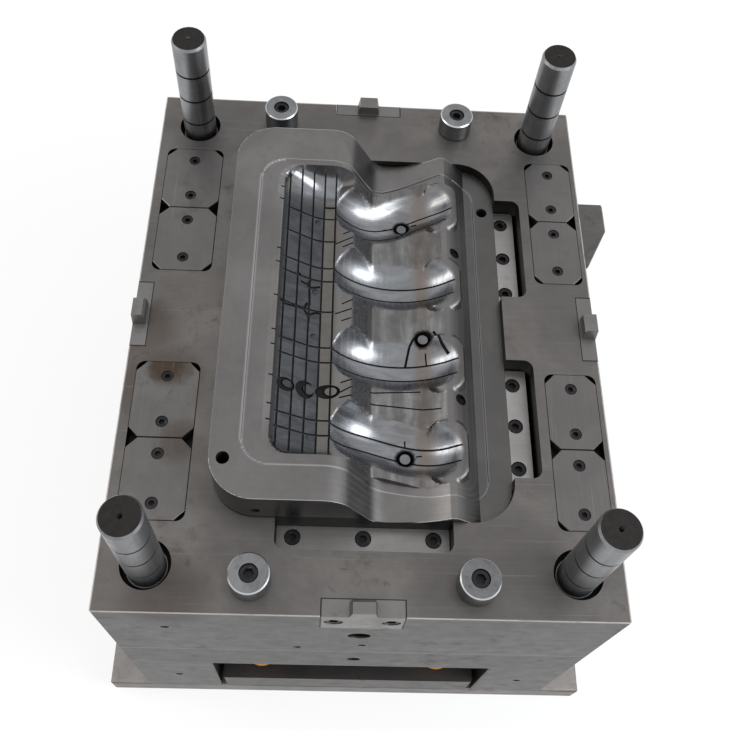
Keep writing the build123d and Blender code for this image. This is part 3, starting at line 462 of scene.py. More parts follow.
def insert_steel(name, flange, polish, trough, stain):
    """The core insert's face: milled flange, stoned trough panels, polished channels, eroded slopes."""
    paint = Paint(bpy.data.materials.new(name))
    across, upright = paint.axes()[0], paint.axes()[2]
    groove, polished, panel = paint.mark("groove"), paint.mark("polished"), paint.mark("trough")
    eroded, contour, edge_highlight = paint.mark("eroded"), paint.mark("contour"), paint.mark("edge_highlight")
    saddle, skirt = paint.mark("saddle"), paint.mark("skirt")
    clouds = paint.noise(9.0, 5.0, 0.6, warp=0.5)
    blotch = paint.noise(55.0, 6.0, 0.7)
    grit = paint.noise(520.0, 4.0, 0.7)
    sweep = paint.noise(26.0, 4.0, 0.6, stretch=(1, 3.2, 1), warp=0.8)
    streak = paint.noise(70.0, 5.0, 0.65, stretch=(1, 0.16, 1), warp=0.3)
    pass_width = 0.0075
    passes = paint.ease((contour * (2 * pi / pass_width) + clouds * 5.0).sine(), 0.2, 0.95)
    body = paint.mix(paint.ease(clouds, 0.3, 0.7), shade(flange, 0.86), shade(flange, 1.12))
    body = paint.mix(paint.ease(blotch, 0.45, 0.75) * 0.3, body, shade(flange, 0.68))
    body = paint.mix(passes * paint.ease(clouds, 0.5, 0.75, 0.02, 0.16), body, shade(flange, 1.5))
    wear_and_highlight = paint.mix(paint.ease(blotch, 0.3, 0.7), (0.23, 0.23, 0.235), (0.167, 0.164, 0.162))
    body = paint.mix(saddle, body, wear_and_highlight)
    body = paint.mix(saddle * paint.ease(streak, 0.42, 0.62) * 0.6, body, (0.095, 0.093, 0.092))
    body = paint.mix(saddle * paint.ease(streak, 0.45, 0.3) * 0.5, body, (0.34, 0.34, 0.345))
    panels = paint.mix(paint.ease(sweep, 0.3, 0.7), shade(trough, 0.75), shade(trough, 1.25))
    panels = paint.mix(paint.ease(blotch, 0.5, 0.75) * 0.35, panels, shade(trough, 1.8))
    beige = paint.mix(blotch, (0.11, 0.102, 0.092), (0.21, 0.198, 0.178))
    panels = paint.mix(paint.ease(across, -0.0555, -0.0545) * 0.75, panels, beige)
    body = paint.mix(panel, body, panels)
    streaks = paint.mix(paint.ease(sweep, 0.3, 0.75), shade(polish, 1.12), shade(polish, 0.8))
    # Painted reflection: a warm brown streak near x = 68 mm and warm patches, mirrored from the surroundings,
    # on the channels and saddles.
    warm_reflection = paint.ease(abs(across - 0.068) + (sweep - 0.5) * 0.03, 0.016, 0.003) * 0.6
    warm_reflection = warm_reflection.above(paint.ease(clouds + (sweep - 0.5) * 0.6, 0.5, 0.72) * 0.3)
    streaks = paint.mix(warm_reflection, streaks, (0.17, 0.125, 0.094))
    body = paint.mix(warm_reflection * saddle * 0.7, body, (0.10, 0.072, 0.053))
    # The polish colour also lies on the trough's back end, as a painted highlight there.
    body = paint.mix(polished, body, streaks)
    bitten = paint.mix(paint.ease(grit, 0.35, 0.65), (0.036, 0.036, 0.039), (0.115, 0.115, 0.12))
    body = paint.mix(eroded, body, bitten)
    dirt = paint.ease(clouds * 0.5 + blotch * 0.6, 0.66, 0.78) * (1 - polished) * 0.45
    body = paint.mix(dirt, body, stain)
    # Painted highlights along the relief line and the trough's ledge.
    body = paint.mix(edge_highlight * 0.6, body, (0.5, 0.51, 0.52))
    # Painted highlight along the insert's top outer edge.
    rim_highlight = paint.ease(skirt, 0.35, 0.9) * paint.ease(upright, 0.472, 0.476) * 0.8
    body = paint.mix(rim_highlight, body, highlight_grey)
    # Painted shade: a dark band on the low strip beside the outer edge, where the insert meets the pocket
    # wall.
    body = paint.mix(paint.ease(skirt, 0.05, 0.5) * paint.ease(upright, 0.476, 0.472), body, gap_shade_black)
    # Painted shade on the trough's left wall, which faces the lamp.
    body = paint.mix(paint.mark("wall") * 0.85, body, (0.022, 0.023, 0.025))
    shadowed = paint.ease(across, 0.100, 0.112) * (1 - skirt) * 0.5
    body = paint.mix(shadowed, body, (0.047, 0.046, 0.045))
    # Painted shade: the grooves, holes and the rings round the sleeves are made near black.
    body = paint.mix(groove, body, groove_shade_black)
    gloss = 0.42 - polished * 0.13 - panel * 0.04 - saddle * 0.04
    gloss = gloss + (blotch - 0.5) * 0.2 + (passes - 0.5) * 0.06
    gloss = gloss + eroded * 0.25 + groove * 0.4 + dirt * 0.2 - edge_highlight * 0.1
    metal = 1.0 - groove * 0.7 - dirt * 0.4
    relief = paint.bump(grit * eroded, 0.0006, 0.9, paint.bump(passes, 0.00010, 0.08))
    return paint.finish(body, gloss.clamp(), metal.clamp(), relief)


def insert_flank(name, tone):
    """The insert's upright outside, painted darker than its face as shade, with a dark band of painted shade
    just above the plate.
    """
    paint = Paint(bpy.data.materials.new(name))
    clouds = paint.noise(12.0, 5.0, 0.6, warp=0.5)
    lines = paint.noise(1.0, 3.0, 0.6, stretch=(5, 5, 520))
    # Painted shade: the upright sides are darker than the face.
    body = paint.mix(paint.ease(clouds, 0.35, 0.65), shade(tone, 0.45), shade(tone, 0.85))
    body = paint.mix(paint.ease(lines, 0.4, 0.7) * 0.2, body, shade(tone, 1.3))
    # Painted shade: a dark band at the foot, where the insert meets the plate.
    foot_shade = paint.ease(paint.axes()[2] + (clouds - 0.5) * 0.006, 0.4865, 0.4825)
    body = paint.mix(foot_shade, body, gap_shade_black)
    gloss = 0.34 + (clouds - 0.5) * 0.2 + foot_shade * 0.2
    return paint.finish(body, gloss.clamp(), 0.95 - foot_shade * 0.6, paint.bump(lines, 0.00004, 0.3))


def slot_shadow(name):
    """Walls and floors of bores and vent marks, painted near black as shade."""
    paint = Paint(bpy.data.materials.new(name))
    shade_marks = paint.noise(240.0, 3.0, 0.6)
    body = paint.mix(shade_marks, recess_shade_black, (0.03, 0.028, 0.026))
    relief = paint.bump(shade_marks, 0.0001, 0.4)
    return paint.finish(body, 0.75 + (shade_marks - 0.5) * 0.2, 0.0, relief, Specular_IOR_Level=0.08)


def dress(names, material):
    """Gives CAD nodes a material in their own slots."""
    for name in names:
        piece = nodes[name]
        if not piece.material_slots:
            piece.data.materials.append(material)
        for place in piece.material_slots:
            place.material = material


def named(*starts):
    return [name for name in nodes if name.startswith(starts)]


# Pieces


def shown(name, form, materials, body, sharp=35.0):
    """A finished piece from a bmesh, at the origin, riding on a body."""
    mesh = bpy.data.meshes.new(name)
    form.to_mesh(mesh)
    form.free()
    for material in materials:
        mesh.materials.append(material)
    mesh.shade_smooth()
    mesh.set_sharp_from_angle(angle=radians(sharp))
    piece = bpy.data.objects.new(name, mesh)
    bpy.context.scene.collection.objects.link(piece)
    if body:
        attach(piece, body)
    return piece


# Millimetres in a metre
mm = 1000.0

# The insert's face: places across (x) and along (y) the mould and heights over the plate, in millimetres
insert_across = (-166.5, 166.5)
insert_along = (-243.5, 249.5)
insert_corner = 48

# Left, right, front and back edge and the corner radius of the moulding face and of the relief line
moulding_edge = (-112, 92, -190.5, 190.8, 25)
relief_edge = (-133, 138, -203, 197, 30)
edge_blend = 0.35

runner_centres = (145.0, 54.8, -53.4, -148.0)
runner_grooves = ((-2.5, -21.5), (5.2, -13.4), (5.4, -13.6), (7.1, -11.5))
trough_lines = (-98.0, -83.5, -69.0, -55.0, -41.0)
cross_lines = (-156.0, -138.5, -67.0, -48.0, -0.6, 41.4, 60.0, 99.0, 132.5)
ring_places = ((45.0, 152.5), (67.7, -17.5), (46.2, -163.5))

# Lines across which the face turns, so that its grid has to hold them
turning_lines = (-105, -104.8, -101, -37, -17.5, 92.8, 99, 115.6, 115.8, 127)

# Upright holes: place, radius, lower and upper end and number of sides
upright_holes = [(x, y, 10.05, -120, 60, 56) for x, y in ring_places]
upright_holes += [(-62, y, 4.05, -120, 60, 24) for y in (-160, -35, 25, 125)]
upright_holes += [(109, 103, 6.5, -6, 40, 40), (109, -98, 6.5, -6, 40, 40)]
upright_holes += [(-150, -198, 7, 27, 70, 40), (149.5, 178, 7, -43, 10, 40)]

# Ends of the short vent marks
vent_marks = [
    ((-30.6, 9.3), (-17.8, 14.4)), ((-38.1, -3.3), (-18.7, 2.0)), ((-30.6, -13.3), (-19.0, -10.2)),
    ((-30.0, -93.2), (-17.2, -89.8)), ((-30.2, -105.0), (-17.6, -98.7)), ((-31.1, -111.4), (-17.4, -109.2)),
    ((-31.0, 109.3), (-19.3, 113.4)), ((-40.6, 95.4), (-18.6, 103.5)), ((-31.2, 90.2), (-18.4, 95.0)),
    ((21.2, 149.9), (33.0, 152.0)), ((57.3, 156.2), (64.2, 157.3)), ((44.7, 141.2), (45.3, 136.0)),
    ((57.6, -15.7), (51.8, -26.3)), ((51.8, -26.3), (47.5, -48.1)), ((79.5, -9.6), (87.1, -24.9)),
    ((87.1, -24.9), (96.9, -39.9)), ((70.9, -33.9), (72.3, -47.2)), ((45.7, -142.7), (46.3, -151.4)),
    ((58.5, -160.8), (65.0, -160.6)), ((-17.9, -182.1), (-13.3, -178.6)), ((-55.0, 150.0), (-41.0, 150.0)),
    ((-79.7, 33.6), (-71.8, 32.5)), ((-71.8, 32.5), (-68.1, 40.1)), ((-71.8, 32.5), (-69.4, 28.9)),
    ((-69.4, 28.9), (-57.0, 33.1)), ((-69.4, 28.9), (-68.4, 5.7)), ((-101.2, 0.7), (-97.7, -4.2)),
    ((-97.7, -4.2), (-84.7, -3.1)), ((-84.7, -3.1), (-74.8, -2.2)), ((-74.8, -2.2), (-70.1, -8.6)),
    ((-70.1, -8.6), (-61.4, -3.3)), ((-61.4, -3.3), (-55.8, -2.9)), ((-74.8, -2.2), (-70.8, 7.3)),
    ((-70.8, 7.3), (-68.4, 5.7)), ((-69.0, -8.8), (-68.7, -16.3)), ((-80.1, 43.9), (-83.4, 41.7)),
    ((5.4, -90.3), (63.5, -86.9)), ((5.0, -104.5), (85.8, -111.0)),
]

# Ticks on the ledge left of the trough
ledge_marks = (158.4, 140.1, 67.9, 49.0, 3.3, -41.6, -60.3, -98.5, -132.5, -151.1)

# Pockets across the trough, each an outer and an inner oval with a middle and a reach both ways
boss_pockets = [
    ((-90.4, -104.5, 9.8, 8.2), (-88.2, -103.2, 5.6, 4.2)),
    ((-69.3, -104.0, 10.4, 10.6), (-64.9, -102.6, 5.9, 6.2)),
    ((-44.1, -103.6, 14.2, 8.6), (-40.4, -103.2, 6.8, 5.0)),
]
vent_depth, tick_depth, pocket_depth = 2.0, 1.2, 3.0


def eased(value, low, high):
    """A soft step from 0 to 1 while the value goes from low to high."""
    t = np.clip((value - low) / (high - low), 0, 1)
    return t * t * (3 - 2 * t)


def arch(x, middle, height, radius):
    """Top of a round form whose axis lies at a place and height."""
    return height + np.sqrt(np.maximum(radius**2 - (x - middle) ** 2, 0))


def dip(x, middle, height, radius):
    """Underside of a round form whose axis lies at a place and height."""
    return height - np.sqrt(np.maximum(radius**2 - (x - middle) ** 2, 0))


def parting_height(x):
    """Height of the stepped parting face: high flange, rounded brow, slope, valley and right-hand ridge."""
    slope = np.interp(x, (-17.7, 3.35), (39.5, 2.5))
    ridge = np.interp(x, (92, 99, 127), (10.99, 10.99, -13))
    heights = [57 + 0 * x, arch(x, -48, 22, 35), slope, dip(x, 25, 15, 25), dip(x, 25, 107.4, 117.4)]
    return np.select([x <= -48, x <= -17.7, x <= 3.35, x <= 25, x <= 92], heights, ridge)


def cavity_height(x):
    """Height of the moulding face: trough, land, slope and saddles."""
    steep = 28.45 + (-70.79 - x) * tan(radians(33))
    land = np.interp(x, (-37, -17.5, 3.35), (23.84, 29, 0.5))
    heights = [steep, dip(x, -49, 62, 40), land]
    return np.select([x <= -70.79, x <= -37, x <= 3.35], heights, parting_height(x) - 2)


def round_box(x, y, low_x, high_x, low_y, high_y, corner):
    """Distance inside a rectangle with rounded corners, negative outside."""
    across = np.abs(x - (low_x + high_x) / 2) - (high_x - low_x) / 2 + corner
    along = np.abs(y - (low_y + high_y) / 2) - (high_y - low_y) / 2 + corner
    out = np.hypot(np.maximum(across, 0), np.maximum(along, 0)) + np.minimum(np.maximum(across, along), 0)
    return corner - out


def soft_lower(first, second, reach):
    """The lower of two heights, rounded where they meet."""
    share = np.clip(0.5 + 0.5 * (second - first) / reach, 0, 1)
    return second * (1 - share) + first * share - reach * share * (1 - share)


def swayed(x, along):
    """Where a line along x runs, since the outer channels fan out towards the right."""
    fan = eased(x, -10, 88)
    back = np.minimum(eased(along, 93, 107), 1 - eased(along, 182, 247))
    front = np.minimum(1 - eased(along, -110, -92), eased(along, -241, -186))
    return along + 26 * fan * back - 15 * fan * front


def unswayed(x, y):
    """The line on which a point lies, found by halving."""
    low, high = np.full_like(y, -260.0), np.full_like(y, 260.0)
    for turn in range(22):
        middle = (low + high) / 2
        over = swayed(x, middle) > y
        low, high = np.where(over, low, middle), np.where(over, middle, high)
    return (low + high) / 2


def shaped_face(x, along, size):
    """Height without grooves, and the shares of channel, trough and so on, at each point."""
    inside = round_box(x, along, *moulding_edge)
    relief = round_box(x, along, *relief_edge)
    drop = np.where(x < 93, size.relief * mm, 0.8)
    outer = parting_height(x) - drop * eased(relief, -edge_blend, edge_blend)

    # The trough with its ledge and wall at the left and its upswept ends
    from_left = x - dip(np.maximum(np.abs(along) - 165.5, 0), 0, -87, 25)
    wall = np.interp(from_left, (7.2, 11.2), (51.5, -5))
    cavity = np.maximum(cavity_height(x), np.where(from_left < 7.0, 52.0, wall))
    end = arch(np.maximum(-87 - x, 0), 0, 165.6, 25)
    to_end = np.maximum(end - np.abs(along), 0)
    reach = np.interp(x, (-40, -34, -10, -4), (26, 8, 8, 1.2))
    lift = 1 - np.sqrt(np.clip(1 - (1 - np.clip(to_end / reach, 0, 1)) ** 2, 0, 1))
    cavity = cavity + (outer - cavity) * lift
    share_in = eased(inside, -edge_blend, edge_blend)
    ground = outer + (cavity - outer) * share_in

    # The rounded lands beside the channels at the right
    for centre in runner_centres:
        land = round_box(x, along - centre, 70, 115.7, -38, 38, 20)
        top = arch(np.clip(7 - land, 0, 7), 0, 4, 7)
        ground = np.where(land > 0, np.maximum(ground, top), ground)

    # The channels
    channel = np.zeros_like(x)
    lip = size.land_lip * mm + (size.saddle_lip - size.land_lip) * mm * eased(x, -17, 0)
    radius, path = size.runner_radius * mm, size.runner_path_radius * mm
    plain = ground
    for centre in runner_centres:
        v = np.abs(along - centre)
        bowl = dip(x, 37.5, 69.2, arch(v, 0, path, radius)) + 6 * np.maximum(v - radius, 0)
        channel = np.maximum(channel, eased(plain - bowl, -0.2, 1.5))
        ground = soft_lower(ground, bowl, lip)
    shares = {
        "channel": channel,
        "trough": share_in * (1 - eased(x, -38, -36)) * eased(from_left, 8, 11) * (1 - channel),
        "inside": share_in,
        "relief": relief,
        "from_left": from_left,
        "to_end": to_end,
    }
    return ground, shares


def groove_share(x, along, shares, size):
    """1 in a groove and 0 beside it."""
    half = size.groove_width * mm / 2
    from_end = shares["to_end"]
    channel = (shares["channel"] > 0.6) & (x > -46)
    trough = (x > -100) & (x < -39.5) & (shares["from_left"] > 9.5)
    offsets = [centre + offset for centre, pair in zip(runner_centres, runner_grooves) for offset in pair]
    runs = [(along - offset, channel) for offset in offsets]
    runs += [(x - line, trough & (along > -181) & (from_end > 0.8)) for line in trough_lines]
    runs += [(along - line, trough & (from_end > 3)) for line in cross_lines]
    cut = np.zeros_like(x)
    for off, run in runs:
        cut = np.maximum(cut, (1 - eased(np.abs(off), half - 0.15, half + 0.1)) * run)
    return cut


def block_margin(x, y, low, high):
    """Distance in from the insert's upright outside."""
    return round_box(x, y, low[0] * mm, high[0] * mm, low[1] * mm, high[1] * mm, insert_corner)


def beside(lines, gaps):
    """Places at each gap to both sides of every line."""
    return [line + side * gap for line in lines for side in (-1, 1) for gap in gaps]


def ruled(low, high, spacing, exact):
    """Places of the face's lines: evenly spaced, with the exact ones in and none too near to them."""
    count = int(round((high - low) / spacing))
    even = [low + (high - low) * i / count for i in range(count + 1)]
    exact = sorted(set(round(e, 4) for e in exact if low < e < high))
    kept = [e for e in even if e in (low, high) or min([abs(e - f) for f in exact] + [9]) > spacing * 0.45]
    return np.array(sorted(set(kept + exact)))


def mark_cutter(start, end, width):
    """A narrow block between two points, with cuts along it so that it can follow the face."""
    form = bmesh.new()
    run = Vector((end[0] - start[0], end[1] - start[1])) / mm
    bmesh.ops.create_cube(form, size=1.0)
    bmesh.ops.scale(form, vec=(run.length, width, 1), verts=form.verts)
    long_edges = [e for e in form.edges if abs(e.verts[0].co.x - e.verts[1].co.x) > run.length / 2]
    bmesh.ops.subdivide_edges(form, edges=long_edges, cuts=max(1, int(run.length / 0.003)))
    turn = Matrix.Rotation(run.angle_signed(Vector((1, 0))), 3, "Z")
    bmesh.ops.rotate(form, verts=form.verts, cent=(0, 0, 0), matrix=turn)
    middle = ((start[0] + end[0]) / (2 * mm), (start[1] + end[1]) / (2 * mm), 0)
    bmesh.ops.translate(form, verts=form.verts, vec=middle)
    return form


class MOULD_OT_core_insert(bpy.types.Operator):
    """Shape the core insert with its trough, runner channels, vent grooves and rings"""

    bl_idname = "mould.core_insert"
    bl_label = "Core insert"

    def execute(self, context):
        size, steel = context.scene.mould_insert, context.scene.mould_steel
        low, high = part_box("core_insert")
        form = self.face(size)
        rim = [e for e in form.edges if e.is_boundary]
        skirt = bmesh.ops.extrude_edge_only(form, edges=rim)["geom"]
        for vert in [g for g in skirt if isinstance(g, bmesh.types.BMVert)]:
            vert.co.z = low[2]
        bmesh.ops.holes_fill(form, edges=[e for e in form.edges if e.is_boundary], sides=0)
        bmesh.ops.recalc_face_normals(form, faces=form.faces)
        face = insert_steel(
            "insert_face", size.flange_tone, size.polish_tone, size.trough_tone, steel.stain_tone
        )
        flank = insert_flank("insert_flank", size.flange_tone)
        piece = shown("core_insert_face", form, [face, slot_shadow("insert_slots"), flank], None)
        tools = [self.block(low, high)] + self.cutters(size)
        for tool, how in zip(tools, ["INTERSECT"] + ["DIFFERENCE"] * (len(tools) - 1)):
            carve = piece.modifiers.new(how.lower(), "BOOLEAN")
            carve.object, carve.operation, carve.solver = tool, how, "MANIFOLD"
        context.view_layer.update()
        solid = bpy.data.meshes.new_from_object(piece.evaluated_get(context.evaluated_depsgraph_get()))
        piece.modifiers.clear()
        piece.data = solid
        for tool in tools:
            bpy.data.objects.remove(tool)
        self.store(solid, low, high, size)
        solid.shade_smooth()
        solid.set_sharp_from_angle(angle=radians(35))
        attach(piece, "root")
        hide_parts("core_insert")
        return {"FINISHED"}

    def face(self, size):
        """The grooved face as a grid whose lines follow its grooves and edges."""
        groove_sides = (0.85, 1.1)
        exact = beside(trough_lines, groove_sides) + list(turning_lines)
        exact += beside(moulding_edge[:2] + relief_edge[:2], [edge_blend])
        xs = ruled(*insert_across, size.spacing * 1120, exact)
        lines = [c + o for c, pair in zip(runner_centres, runner_grooves) for o in pair]
        exact = beside(list(cross_lines) + lines, groove_sides)
        exact += beside(moulding_edge[2:4] + relief_edge[2:4], [edge_blend])
        ys = ruled(*insert_along, size.spacing * 1030, exact)
        form = bmesh.new()
        bmesh.ops.create_grid(form, x_segments=len(xs) - 1, y_segments=len(ys) - 1, size=0.5)
        points = np.array([v.co[:2] for v in form.verts])
        across = xs[np.rint((points[:, 0] + 0.5) * (len(xs) - 1)).astype(int)]
        along = ys[np.rint((points[:, 1] + 0.5) * (len(ys) - 1)).astype(int)]
        height, shares = shaped_face(across, along, size)
        deep = np.where(shares["channel"] > 0.6, size.runner_groove_depth, size.groove_depth) * mm
        height = height - deep * groove_share(across, along, shares, size)
        placed = np.stack([across, swayed(across, along), height], axis=1) / mm
        for vert, spot in zip(form.verts, placed):
            vert.co = (spot[0], spot[1], spot[2] + parting_z)
        return form

    def block(self, low, high):
        """The insert's outer block with rounded upright corners."""
        form = bmesh.new()
        tall = 0.3
        clear = 0.00001
        bmesh.ops.create_cube(form, size=1.0)
        bmesh.ops.scale(form, vec=[high[i] - low[i] for i in range(2)] + [tall], verts=form.verts)
        middle = [(high[i] + low[i]) / 2 for i in range(2)] + [low[2] + tall / 2]
        bmesh.ops.translate(form, vec=middle, verts=form.verts)
        upright = [e for e in form.edges if abs(e.verts[0].co.z - e.verts[1].co.z) > 0.1]
        bmesh.ops.bevel(form, geom=upright, offset=insert_corner / mm, offset_type="OFFSET", affect="EDGES",
                        segments=16, profile=0.5, material=-1)
        bmesh.ops.translate(form, vec=(0, 0, clear), verts=form.verts)
        return shown("insert_block", form, [], None)

    def cutters(self, size):
        """What is cut out of the face: holes, pockets and vent marks, with touching marks apart."""
        forms = [bmesh.new() for i in range(5)]
        form = forms[0]

        def lay(verts, shift):
            """Sets points at the height of the face, shifted up or down by millimetres."""
            x, y = np.array([v.co[:2] for v in verts], dtype=float).T * mm
            level = shaped_face(x, unswayed(x, y), size)[0]
            for vert, z, more in zip(verts, level, shift):
                vert.co.z = parting_z + (z + more) / mm

        def drill(x, y, radius, low, high, segments, turn=None):
            """Adds a round cutter between two heights, upright or turned."""
            made = bmesh.ops.create_cone(form, cap_ends=True, segments=segments, radius1=radius / mm,
                                         radius2=radius / mm, depth=(high - low) / mm)["verts"]
            if turn:
                bmesh.ops.rotate(form, verts=made, cent=(0, 0, 0), matrix=turn)
            middle = parting_z + (low + high) / (2 * mm)
            bmesh.ops.translate(form, vec=(x / mm, y / mm, middle), verts=made)
            return made

        for hole in upright_holes:
            drill(*hole)
        front_hole = drill(0, 0, 5, -25, 5, 24, Matrix.Rotation(radians(90), 3, "X"))
        bmesh.ops.translate(form, vec=(-0.115, -0.2315, 0.031), verts=front_hole)
        marks = []
        for start, end in vent_marks:
            wide = start[0] < -45 or 47 < start[0] < 88 and start[1] > -27
            marks.append((start, end, vent_depth, 1.7 if wide else 1.0))
        marks += [((-109, y), (-104.5, y), tick_depth, 1.0) for y in ledge_marks]
        passing = bpy.data.meshes.new("mark")
        for count, (start, end, deep, gain) in enumerate(marks):
            mark = mark_cutter(start, end, size.mark_width * gain)
            lay(mark.verts, [25 if vert.co.z > 0 else -deep for vert in mark.verts])
            mark.to_mesh(passing)
            mark.free()
            forms[count % len(forms)].from_mesh(passing)
        bpy.data.meshes.remove(passing)
        for pocket in boss_pockets:
            rims = []
            for x, y, reach_x, reach_y in pocket:
                ring = bmesh.ops.create_circle(form, cap_ends=False, segments=32, radius=0.001)["verts"]
                bmesh.ops.scale(form, vec=(reach_x, reach_y, 1), verts=ring)
                bmesh.ops.translate(form, vec=(x / mm, y / mm, 0), verts=ring)
                lay(ring, [-pocket_depth] * len(ring))
                rims += list({e for v in ring for e in v.link_edges})
            top = bmesh.ops.bridge_loops(form, edges=rims)["faces"]
            raised = bmesh.ops.extrude_face_region(form, geom=top)["geom"]
            lifted = [g for g in raised if isinstance(g, bmesh.types.BMVert)]
            bmesh.ops.translate(form, vec=(0, 0, 0.03), verts=lifted)
        tools = []
        for form in forms:
            bmesh.ops.recalc_face_normals(form, faces=form.faces)
            for face in form.faces:
                face.material_index = 1
            tools.append(shown("insert_cutter", form, [None, None], None))
        return tools

    def store(self, mesh, low, high, size):
        """Writes on each point what kind of surface it lies on, for the material."""
        spots = np.empty(len(mesh.vertices) * 3, dtype=np.float32)
        mesh.vertices.foreach_get("co", spots)
        x, y, z = (spots.reshape(-1, 3).astype(float) * mm).T
        z = z - parting_z * mm
        along = unswayed(x, y)
        height, shares = shaped_face(x, along, size)
        channel, inside = shares["channel"], shares["inside"]
        from_left, to_end = shares["from_left"], shares["to_end"]
        margin = block_margin(x, y, low, high)
        sunk = np.clip(height - z, 0, 9)
        cut = groove_share(x, along, shares, size)
        # Painted shade: grooves, sunk places and a ring round each sleeve's bore are marked to be made near
        # black.
        groove = np.clip(sunk / 0.8, 0, 1) * (margin > 0.3) * (z > -60) * np.maximum(cut, (sunk > 2.6))
        shade_marks = [1 - eased(np.abs(np.hypot(x - rx, y - ry) - 10.6), 1.0, 1.6) for rx, ry in ring_places]
        # Painted highlight: the trough's upswept back end takes the polished channels' colour and gloss.
        back_end_highlight = inside * eased(to_end, 46, 18) * (x < -37) * (y > 0)
        # Painted highlights: along the relief line and along the trough's ledge.
        rim = np.exp(-(((shares["relief"] + 0.1) / 0.7) ** 2)) * (z > height - 2.2)
        ledge_highlight = 0.2 * np.exp(-((from_left - 7.1) / 0.8) ** 2) * inside * (to_end > 26)
        # Painted shade: the trough's left wall is marked to be darkened.
        wall = eased(from_left, 6.9, 7.4) * (1 - eased(from_left, 10.6, 11.6)) * inside
        marks = {
            "groove": np.maximum(groove, 0.9 * np.maximum.reduce(shade_marks)),
            "polished": np.maximum(channel, back_end_highlight),
            "trough": shares["trough"],
            "eroded": eased(x, -18.5, -17) * (1 - eased(x, 1, 5)) * inside * (1 - channel),
            "saddle": inside * eased(x, 0, 5) * (1 - channel),
            "contour": shares["relief"] / mm,
            "edge_highlight": np.maximum(rim, ledge_highlight) * (margin > 0.3),
            "skirt": (margin < 0.12).astype(float),
            "wall": wall * (x < -90) * eased(to_end, 2, 8),
        }
        upright = [face for face in mesh.polygons if abs(face.normal.z) < 0.3 and face.material_index == 0]
        for face in upright:
            at = face.center * mm
            if block_margin(at.x, at.y, low, high) < 0.3:
                face.material_index = 2
        for name, values in marks.items():
            layer = mesh.attributes.new(name, "FLOAT", "POINT")
            layer.data.foreach_set("value", values.astype(np.float32))


class MOULD_OT_springs(bpy.types.Operator):
    """Wind the four return springs"""

    bl_idname = "mould.springs"
    bl_label = "Return springs"

    def execute(self, context):
        size = context.scene.mould_spring
        paint = spring_paint("spring_paint", size.paint)
        width = (size.outer - size.inner) / 2
        edge_round = 0.0016
        steps_a_turn = 40
        for corner in corner_names:
            node = f"return_spring_{corner}"
            low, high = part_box(node)
            centre = ((low[0] + high[0]) / 2, (low[1] + high[1]) / 2)
            rise = (high[2] - low[2] - size.wire) / size.turns
            form = bmesh.new()
            section = bmesh.ops.create_grid(form, x_segments=1, y_segments=1, size=0.5)["verts"]
            bmesh.ops.scale(form, vec=(width, size.wire, 1), verts=section)
            bmesh.ops.rotate(form, verts=section, cent=(0, 0, 0), matrix=Matrix.Rotation(pi / 2, 3, "X"))
            at = (centre[0] + (size.outer + size.inner) / 4, centre[1], low[2] + size.wire / 2)
            bmesh.ops.translate(form, vec=at, verts=section)
            bmesh.ops.bevel(form, geom=section, offset=edge_round, affect="VERTICES", segments=2, profile=0.5,
                            material=-1)
            rim = [e for e in form.edges if e.is_boundary]
            bmesh.ops.delete(form, geom=list(form.faces), context="FACES_ONLY")
            bmesh.ops.spin(form, geom=rim + list(form.verts), cent=(*centre, 0), axis=(0, 0, 1),
                           dvec=(0, 0, rise / steps_a_turn), angle=2 * pi * size.turns,
                           steps=steps_a_turn * size.turns, use_merge=False, use_duplicate=False)
            bmesh.ops.remove_doubles(form, verts=form.verts, dist=0.00001)
            bmesh.ops.holes_fill(form, edges=[e for e in form.edges if e.is_boundary], sides=0)
            bmesh.ops.recalc_face_normals(form, faces=form.faces)
            piece = shown(f"coil_spring_{corner}", form, [paint], "root", 40)
            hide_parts(node)
            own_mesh(piece)
        return {"FINISHED"}


class MOULD_OT_plates(bpy.types.Operator):
    """Give the plates and spacer blocks their ground and stained steel"""

    bl_idname = "mould.plates"
    bl_label = "Plates"

    def execute(self, context):
        steel = context.scene.mould_steel
        tone, stain = steel.plate_tone, steel.stain_tone
        plate_x, plate_y, clamp_x = 0.275, 0.343, 0.330
        clamp_top, support_low, support_top = 0.040, 0.210, 0.300
        spots = [(-0.236, -0.085, parting_z, 0.06, 0.6), (-0.262, -0.02, parting_z, 0.05, 0.5),
                 (-0.2, -0.33, parting_z, 0.05, 0.4)]
        holes = [(0.0055, 0.340, 0.005, -1), (-0.068, 0.322, 0.005, -1), (-0.2076, 0.4164, 0.005, -1),
                 (0.0, 0.391, 0.013, -1), (0.0, 0.391, 0.013, 1)]
        # The moving plate gets painted highlights on its edges and round its front and back holes, and
        # painted shade in its pocket and on its upright sides.
        moving = ground_steel("plate_moving", tone, stain, (6, 620, 620), 0.42, 0.75, 0.55, spots,
                              highlit_edges=(plate_x, plate_y, support_top, parting_z),
                              shaded_pockets=(plate_x, plate_y, parting_z), holes=holes, sides=(parting_z, 0.44))
        # Painted shade and light: the support plate, spacer blocks and ejector plates are darkened, being
        # seen on faces that get little light, and the clamp plate is brightened to stand in for light it
        # lacks low down.
        support = ground_steel("plate_support", shade(tone, 0.3), stain, (5, 700, 700), 0.42, 0.7, 0.6,
                               highlit_edges=(plate_x, plate_y, support_low, support_top))
        clamp = ground_steel("plate_clamp", shade(tone, 1.9), stain, (7, 560, 560), 0.44, 0.7, 0.45,
                             highlit_edges=(clamp_x, plate_y, 0.0, clamp_top), sides=(clamp_top, 0.5))
        spacer = ground_steel("plate_spacer", shade(tone, 0.45), stain, (640, 6, 640), 0.43, 0.6, 0.55)
        ejector = ground_steel("plate_ejector", shade(tone, 0.45), stain, (6, 600, 600), 0.46, 0.7, 0.7)
        dress(["moving_plate"], moving)
        dress(["support_plate"], support)
        dress(["clamp_plate"], clamp)
        dress(named("spacer_block"), spacer)
        dress(["ejector_base_plate", "ejector_retainer_plate"], ejector)
        return {"FINISHED"}


